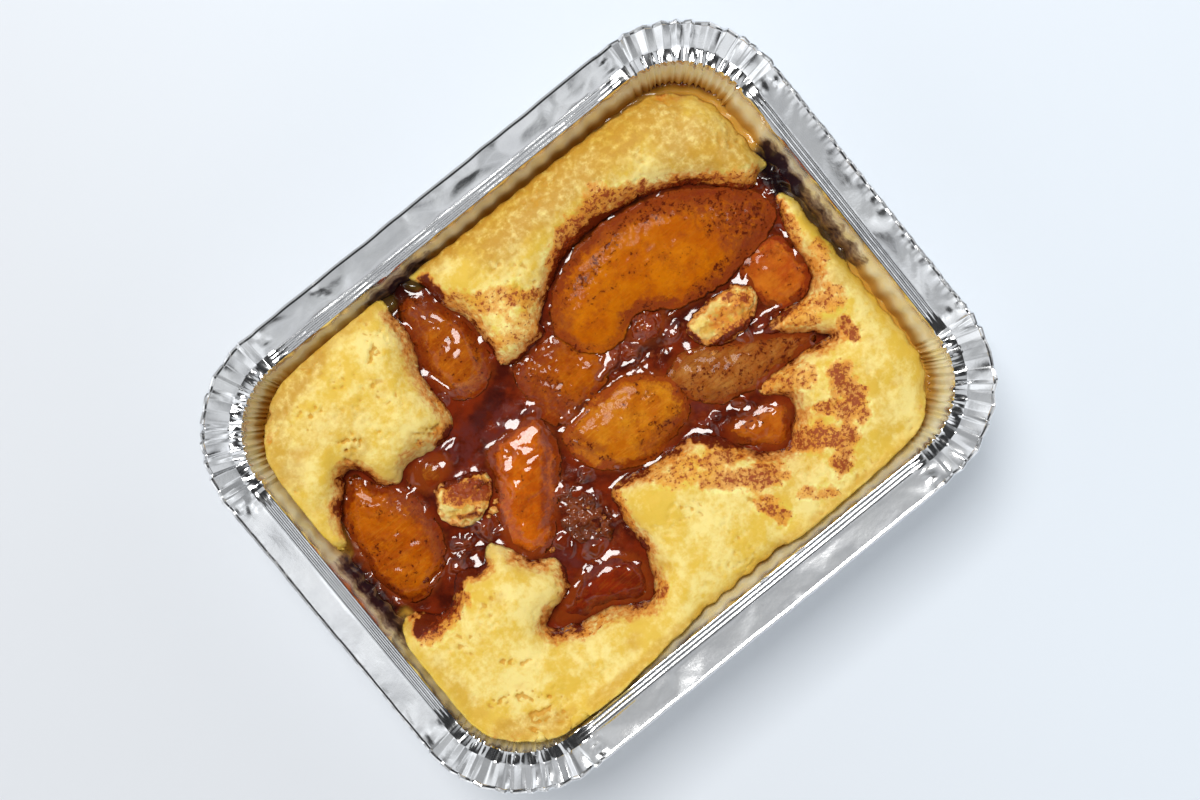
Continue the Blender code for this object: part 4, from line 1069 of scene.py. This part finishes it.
syrupLook = {
    "spacing": 0.48, "lift": 0.15, "intoFoil": 0.15, "depth": 6.0, "taper": 0.965,
    # swells are size and height; the syrup climbs at pastry, lies on fruit and drops at the wall
    "swell": [(9.0, 0.3), (4.5, 0.34), (2.4, 0.12)], "climb": 0.4, "climbWidth": 1.3,
    "onFruit": 0.7, "fruitWidth": 1.8, "gapDrop": 1.0,
    # lumps are x, y, radius, height; the others are zones as in the looks of food
    "lumps": [(8, 6.5, 2.6, 2.0), (13, 5.0, 2.0, 1.8), (22.5, 2.6, 1.7, 1.5), (-2, 4.6, 1.4, 1.0),
              (-35.5, -4.6, 2.4, 1.4), (-41, -4.8, 2.2, 1.3), (-45, -7.2, 2.2, 1.2),
              (-17.5, -8.6, 1.6, 1.3), (-13, -14.5, 1.4, 1.3), (-11, -9.5, 1.8, 1.2),
              (-24, -18.5, 2.4, 0.9), (-46, 11.5, 2.6, 1.0), (-20, -23.5, 3.0, 1.1),
              (14.5, -17.5, 1.6, 1.4), (23.6, -19, 1.8, 1.6), (18.5, -17.6, 1.2, 1.1),
              (33, -7.6, 2.4, 0.8), (-12, 8, 2.0, 0.8), (-30, 12.5, 2.4, 0.6), (44, 6.2, 2.0, 0.8),
              (-24.5, 22.5, 1.3, 1.0), (-12.4, 33.5, 1.0, 0.9), (57, 4, 1.4, 0.8), (-62.5, 3, 1.8, 1.6),
              (-62.5, -2, 1.8, 1.4), (-60, -6, 1.5, 1.0), (59, 15, 2.6, 1.2)],
    "wet": [(-6, 17.4, 2, 17.8, 0.7), (4, 5, 9, 7.5, 1.3), (14, 9.4, 20, 10, 1.3), (9, 1.6, 15, 2, 0.8),
            (-7, 1.2, 3, 2.4, 0.7), (-9, -14.8, -4, -15, 0.8), (13, -17, 15.4, -19.4, 1.4),
            (22, -18, 25, -20.4, 1.3), (-11.6, -5, -10.6, -6.4, 0.8), (-48, 11.6, -41, 11, 0.8),
            (-52, -6.6, -44, -4.8, 0.8), (-44, -4.8, -38, -7.2, 0.7), (-19.6, -7.6, -17, -8.4, 1.0),
            (-13.6, -12.6, -12.4, -13.4, 0.7), (-28, -26.4, -22, -25, 0.7), (-22, -25, -17, -26.6, 0.7),
            (-22.6, 27, -22.4, 23, 0.6), (35, -5.6, 44, -7.6, 0.6), (54, 6, 55, 1, 0.6),
            (22, 2.4, 24, 3.2, 0.7), (1, 7.4, 4, 8.2, 0.8), (7, 3.6, 12, 3.2, 0.9),
            (24, 5.6, 30, 6.4, 0.6), (8, 8.6, 11, 8.2, 0.8), (-10, -19, -9.4, -23, 0.6)],
    "pulpHeight": 0.45,
    "pulp": [(-8, 3, 2, 2, 2.4, 1.0), (3, 6, 13, 6, 3.0, 0.9), (10, 2, 24, 1.5, 2.2, 1.0),
             (-18, -8, -14, -22, 4.5, 0.8), (-38, -5, -30, -6, 2.6, 0.9), (-52, -6, -40, -6, 2.6, 0.8),
             (-8, 18, 2, 20, 2.4, 0.9), (18, 6, 44, 6, 1.8, 0.8), (34, -8, 50, -7, 2.2, 0.8),
             (12, -14, 28, -17, 1.8, 0.5), (-63, 6, -63, -9, 3.0, 1.0), (57, 8, 60, 19, 3.0, 0.6),
             (-10, 12, -8, 4, 2.2, 0.7)],
    # the sheen zones are a painted sheen: a mauve reflection of the bright surroundings on the flat syrup
    "mauve": [(-34, 12, -18, 11, 5.0, 1.0), (-28, -12, -26, -24, 2.6, 0.9),
              (15, -12.5, 21, -14.5, 2.4, 0.9), (28, -6.5, 38, -7.5, 1.8, 1.0), (15, 6, 21, 4, 2.0, 0.9),
              (-38, 10, -36, 5, 2.5, 0.8)],
    # the first four of these zones, in the gaps at the wall, are painted shade; the others are dark syrup
    "black": [(-20, 46, -14, 46, 4.0, 0.7), (60, 20, 60, 12, 3.0, 1.0), (60.5, 12, 61.5, -8, 2.0, 0.9),
              (-63.5, 6, -63.5, -9, 3.2, 1.0), (-14, -14, -15, -22, 2.4, 0.5),
              (-22, 14, -16, 16, 2.4, 0.5), (-3, 2.6, 2, 2.4, 1.6, 0.5), (16, 3.4, 20, 3.0, 1.6, 0.5),
              (-24, -4, -27, -12, 1.4, 0.5)],
    "dark": linear(74, 20, 10), "red": linear(128, 42, 13), "paintedSheenTone": linear(106, 44, 38),
    "pulpTone": linear(150, 74, 38), "film": linear(148, 64, 18), "blackAndShadeTone": linear(30, 14, 18),
    # gold is the syrup's painted reflection of the lit foil wall in the gap
    "gold": linear(212, 160, 62), "slot": "syrup",
}


def nearestEdges(flat, starts):
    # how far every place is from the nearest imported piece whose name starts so, 0 inside it
    nearest = np.full(len(flat), 99.0)
    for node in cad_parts:
        if node.startswith(starts) and node != "peach_syrup":
            line = smoothRing(outlineOf(*nodeShape(node)), 0.6)[:, :2]
            away = nearestOnRing(flat, line)[1]
            away[insideRing(flat, line)] = 0.0
            nearest = np.minimum(nearest, away)
    return nearest


def wallLine(level):
    # the line of the tray's inside at that height, pleats and all
    away = [abs(z - level) if part == "inside" else 99.0 for inset, z, part in trayRings()]
    return trayPlaces.reshape(-1, len(trayStations()[0]), 3)[int(np.argmin(away)), :, :2]


def lumpsAt(x, y):
    # bits of fruit under the syrup's skin
    lumps = np.zeros(len(x))
    uneven = 0.7 * flatNoise(x, y, 2.2, 111.0) + 0.3 * flatNoise(x, y, 1.0, 110.0)
    for lumpX, lumpY, radius, height in syrupLook["lumps"]:
        away = np.hypot(x - lumpX, y - lumpY) / radius + uneven
        lumps = np.maximum(lumps, height * smoothStep(1.3, 0.0, away))
    return lumps


def syrupHeights(x, y, level, bread, painted):
    # climbs a little at pastry and fruit, is rough with pulp, and drops in the gap at the wall
    look = syrupLook
    heights = level + look["lift"] + painted["lump"] + look["climb"] * np.exp(-bread / look["climbWidth"])
    heights += sum(amount * flatNoise(x, y, size, 100.0 + size) for size, amount in look["swell"])
    pulpy = flatNoise(x, y, 2.2, 113.0) + 0.5 * flatNoise(x, y, 1.1, 114.0)
    heights += look["pulpHeight"] * painted["pulp"] * pulpy
    onFruit = 0.7 + 0.9 * flatNoise(x, y, 3.6, 117.0) + 0.3 * flatNoise(x, y, 1.8, 118.0)
    heights += look["onFruit"] * np.exp(-painted["fruit"] / look["fruitWidth"]) * onFruit
    heights -= look["gapDrop"] * painted["gap"]
    return facingWindow(x, y, heights, look["wet"], 119.0)


def shapedSyrup():
    look = syrupLook
    level = nodeShape("peach_syrup")[0][:, 2].max()
    ring = wallLine(level) + trayStations()[0][:, 2:4] * look["intoFoil"]
    lattice = latticeInside(ring, look["spacing"])
    flat = np.vstack([ring, lattice])
    x, y = flat.T
    faces = trianglesInside(ring, lattice)
    fruit, bread = nearestEdges(flat, ("peach_",)), nearestEdges(flat, ("crust", "crumb"))
    wall = distanceToWall(x, y, level)
    painted = {
        "fruit": fruit,
        "lump": lumpsAt(x, y),
        "pulp": zoneMask(x, y, look["pulp"], 112.0),
        "gap": smoothStep(2.6, 1.2, bread) * smoothStep(3.4, 1.6, wall) * smoothStep(1.0, 2.5, fruit),
        "mauve": zoneMask(x, y, look["mauve"], 115.0),
        "black": zoneMask(x, y, look["black"], 116.0),
    }
    skin = np.column_stack([flat, syrupHeights(x, y, level, bread, painted)])
    surfaces.append(BVHTree.FromPolygons(skin.tolist(), faces))
    around, shift = len(ring), len(flat)
    low = np.column_stack([ring * look["taper"], np.full(around, level - look["depth"])])
    for step in range(around):
        following = (step + 1) % around
        faces.append((step, shift + step, shift + following, following))
    faces.append(tuple(range(shift + around - 1, shift - 1, -1)))
    masks = {name: np.concatenate([values, np.zeros(around)]) for name, values in painted.items()}
    return np.vstack([skin, low]), faces, masks


def syrupFinish():
    look = syrupLook
    finish, tree, shader = newFinish("peachSyrup")
    place = whereIs(tree)
    broad = grainAt(tree, place, 5.0, 4.0, 0.6)
    fine = grainAt(tree, place, 1.0, 4.0, 0.65)
    cloud = grainAt(tree, place, 2.6, 4.0, 0.65)
    colour = mixed(tree, ramp(tree, broad, 0.35, 0.65), look["dark"], look["red"])
    # painted sheen: a mauve reflection painted into the syrup's colour
    cloudy = maths(tree, 'MULTIPLY', mask(tree, "mauve"), ramp(tree, cloud, 0.38, 0.6))
    colour = mixed(tree, cloudy, colour, look["paintedSheenTone"])
    ragged = maths(tree, 'MULTIPLY_ADD', fine, 2.4, maths(tree, 'MULTIPLY_ADD', broad, 3.0, -2.7))
    film = ramp(tree, maths(tree, 'ADD', mask(tree, "fruit"), ragged), 2.4, 0.0)
    colour = mixed(tree, maths(tree, 'MULTIPLY', film, 0.75), colour, look["film"])
    pulp = maths(tree, 'MULTIPLY', mask(tree, "pulp"), ramp(tree, fine, 0.45, 0.68))
    colour = mixed(tree, maths(tree, 'MULTIPLY', pulp, 0.8), colour, look["pulpTone"])
    colour = mixed(tree, ramp(tree, mask(tree, "lump"), 0.3, 1.6, 0.0, 0.5), colour, look["film"])
    # in the gap at the wall the syrup is painted the lit gold of the foil beside it: a painted reflection
    colour = mixed(tree, mask(tree, "gap"), colour, look["gold"])
    # painted shade in the gaps at the wall, and dark syrup elsewhere
    colour = mixed(tree, mask(tree, "black"), colour, look["blackAndShadeTone"])
    fill(tree, shader, {
        "Base Color": colour, "Roughness": ramp(tree, mask(tree, "gap"), 0.0, 1.0, 0.12, 0.4),
        "Normal": bumped(tree, fine, 0.2, 0.3), "Specular IOR Level": 0.1,
        "Coat Weight": 1.0, "Coat Roughness": 0.04,
        "Subsurface Weight": 0.15, "Subsurface Radius": (1.0, 0.2, 0.08), "Subsurface Scale": 1.5 * mm,
    })
    return finish


syrupPlaces, syrupFaces, syrupMasks = shapedSyrup()
newPiece("syrupPool", syrupPlaces, syrupFaces, syrupFinish(), ["peach_syrup"], syrupMasks)
print("syrup:", len(syrupFaces), "faces")

# Loose crumbs

looseCrumbs = {
    "seed": 120.0, "flat": (1.0, 0.75, 0.6), "slot": "pastry",
    "places": [(-31.5, -3.0, 1.9, 0.4), (-30.0, -1.8, 1.2, 0.5), (-33.2, -3.4, 1.0, 0.5),
               (-13.0, -9.5, 1.4, 0.7), (-14.5, -19.0, 1.5, 0.7), (-16.8, -20.5, 1.2, 0.7),
               (-19.0, -17.0, 1.3, 0.7), (-15.5, -15.0, 1.7, 0.7), (-27.2, -17.6, 1.2, 0.5),
               (26.6, -6.4, 1.2, 0.5), (38.6, -4.6, 1.0, 0.5), (-9.8, 20.6, 1.2, 0.5),
               (-38.6, 8.0, 1.0, 0.6), (-52.0, -5.4, 1.2, 0.7)],
}


def shapedCrumbs():
    # rough little lumps of pastry on whatever lies highest there: x, y, size and how soaked each is
    look = looseCrumbs
    ball = bmesh.new()
    bmesh.ops.create_icosphere(ball, subdivisions=3, radius=0.5)
    around = np.array([corner.co for corner in ball.verts])
    ballFaces = np.array([[corner.index for corner in face.verts] for face in ball.faces])
    ball.free()
    places, faces, soaked = [], [], []
    for number, (x, y, size, wet) in enumerate(look["places"]):
        hits = [tree.ray_cast(Vector((x, y, overFood)), Vector((0.0, 0.0, -1.0)))[0] for tree in surfaces]
        level = max(hit.z for hit in hits if hit is not None)
        rough = 1.0 + 0.9 * noiseAt(around, 0.4, look["seed"] + number * 3.0)
        lump = around * (rough + 0.4 * noiseAt(around, 0.18, look["seed"] + 60.0 + number))[:, None]
        faces += (ballFaces + number * len(around)).tolist()
        places.append(lump * np.array(look["flat"]) * size + np.array([x, y, level + 0.12 * size]))
        soaked.append(np.full(len(around), wet))
    soaked = np.concatenate(soaked)
    return np.vstack(places), faces, {"juice": soaked, "torn": np.ones(len(soaked))}


crumbPlaces, crumbFaces, crumbMasks = shapedCrumbs()
newPiece("looseCrumbs", crumbPlaces, crumbFaces, pastry, None, crumbMasks)
print("loose crumbs:", len(looseCrumbs["places"]))

# Floor, light and camera

studio = {
    # the floor's colours towards -x and +x, lighter at +x as a painted falloff of the light
    "floor": linear(205, 208, 213), "floorLitEnd": linear(219, 227, 236),
    "floorGlow": (0.16, 0.17, 0.18, 1.0), "floorSize": 6000.0, "floorLightFade": (-130.0, 90.0),
    "sky": 0.6, "skySide": (0.45, -0.12), "skyEnds": 0.4, "skyCorners": -2.8, "skyTint": (0.96, 0.98, 1.0),
    # from where to where the sky's light changes, and its share at both
    "cards": (0.42, 0.56, 0.78, 1.1), "horizon": (0.05, 0.3, 0.3, 1.0), "overhead": (0.68, 0.82, 1.0, 0.04),
    "window": {"place": wetLook["window"], "size": 480.0, "power": 13.8, "colour": (1.0, 0.99, 0.97)},
    # the camera, fitted to the rim: its tilt and turn in degrees, and where it sees the rim's middle
    "lens": 48.0, "sensor": 36.0, "tilt": (2.0, 1.7, 38.96), "rimInView": (0.212, -1.939, -329.7),
}


def layFloor():
    half = studio["floorSize"] / 2 * mm
    corners = [(x * half, y * half, 0.0) for x, y in ((-1, -1), (1, -1), (1, 1), (-1, 1))]
    mesh = bpy.data.meshes.new("floor")
    mesh.from_pydata(corners, [], [(0, 1, 2, 3)])
    finish, tree, shader = newFinish("paleFloor")
    along = put(tree, 'ShaderNodeSeparateXYZ', {0: whereIs(tree)}).outputs[0]
    # the floor is painted lighter towards +x: a painted falloff of the light
    colour = mixed(tree, ramp(tree, along, *studio["floorLightFade"]), studio["floor"], studio["floorLitEnd"])
    # its glow lightens the tray's shadow
    fill(tree, shader, {"Base Color": colour, "Roughness": 0.7,
                        "Emission Color": studio["floorGlow"], "Emission Strength": 1.0})
    mesh.materials.append(finish)
    floor = bpy.data.objects.new("floor", mesh)
    scene.collection.objects.link(floor)


def lightSky():
    # pale all round, brighter to the right but not towards its corners, dark straight above and at
    # the horizon, with soft darker cards in between for the foil to mirror
    world = bpy.data.worlds.new("studioLight")
    scene.world = world
    world.use_nodes = True
    tree = world.node_tree
    direction = put(tree, 'ShaderNodeTexCoord', {}).outputs["Generated"]
    x, y, z = put(tree, 'ShaderNodeSeparateXYZ', {0: direction}).outputs
    right, back = studio["skySide"]
    side = maths(tree, 'MULTIPLY_ADD', x, right, maths(tree, 'MULTIPLY', y, back))
    side = maths(tree, 'MULTIPLY_ADD', maths(tree, 'MULTIPLY', x, x), studio["skyEnds"], side)
    corner = maths(tree, 'MULTIPLY', maths(tree, 'ABSOLUTE', x), x)
    corner = maths(tree, 'MULTIPLY', maths(tree, 'ABSOLUTE', y), corner)
    side = maths(tree, 'MULTIPLY_ADD', corner, studio["skyCorners"], side)
    level = maths(tree, 'ADD', side, studio["sky"])
    cards = put(tree, 'ShaderNodeTexNoise', {"Vector": direction, "Scale": 3.4, "Detail": 1.0}).outputs["Fac"]
    for measure, change in ((cards, "cards"), (z, "horizon"), (z, "overhead")):
        level = maths(tree, 'MULTIPLY', level, ramp(tree, measure, *studio[change]))
    tint = put(tree, 'ShaderNodeVectorMath', {0: studio["skyTint"], 3: level}, operation='SCALE').outputs[0]
    background = tree.nodes["Background"]
    tree.links.new(tint, background.inputs["Color"])
    background.inputs["Strength"].default_value = 1.0


def lightWindow():
    window = studio["window"]
    light = bpy.data.lights.new("window", 'AREA')
    light.shape = 'SQUARE'
    light.size = window["size"] * mm
    light.energy = window["power"]
    light.color = window["colour"]
    lamp = bpy.data.objects.new("window", light)
    lamp.location = Vector(window["place"]) * mm
    lamp.rotation_euler = (-lamp.location).to_track_quat('-Z', 'Y').to_euler()
    scene.collection.objects.link(lamp)


def setCamera():
    tiltX, tiltY, turn = (math.radians(angle) for angle in studio["tilt"])
    turned = Matrix.Rotation(tiltX, 3, 'X') @ Matrix.Rotation(tiltY, 3, 'Y') @ Matrix.Rotation(turn, 3, 'Z')
    back = turned.transposed()
    rim = Vector((0.0, 0.0, trayHeight))
    camera = bpy.data.cameras.new("camera")
    camera.lens = studio["lens"]
    camera.sensor_width = studio["sensor"]
    camera.clip_start = 0.01
    viewer = bpy.data.objects.new("camera", camera)
    viewer.matrix_world = Matrix.Translation((rim - back @ Vector(studio["rimInView"])) * mm) @ back.to_4x4()
    scene.collection.objects.link(viewer)
    scene.camera = viewer


layFloor()
lightSky()
lightWindow()
setCamera()
scene.view_settings.view_transform = 'Standard'
print("studio ready")
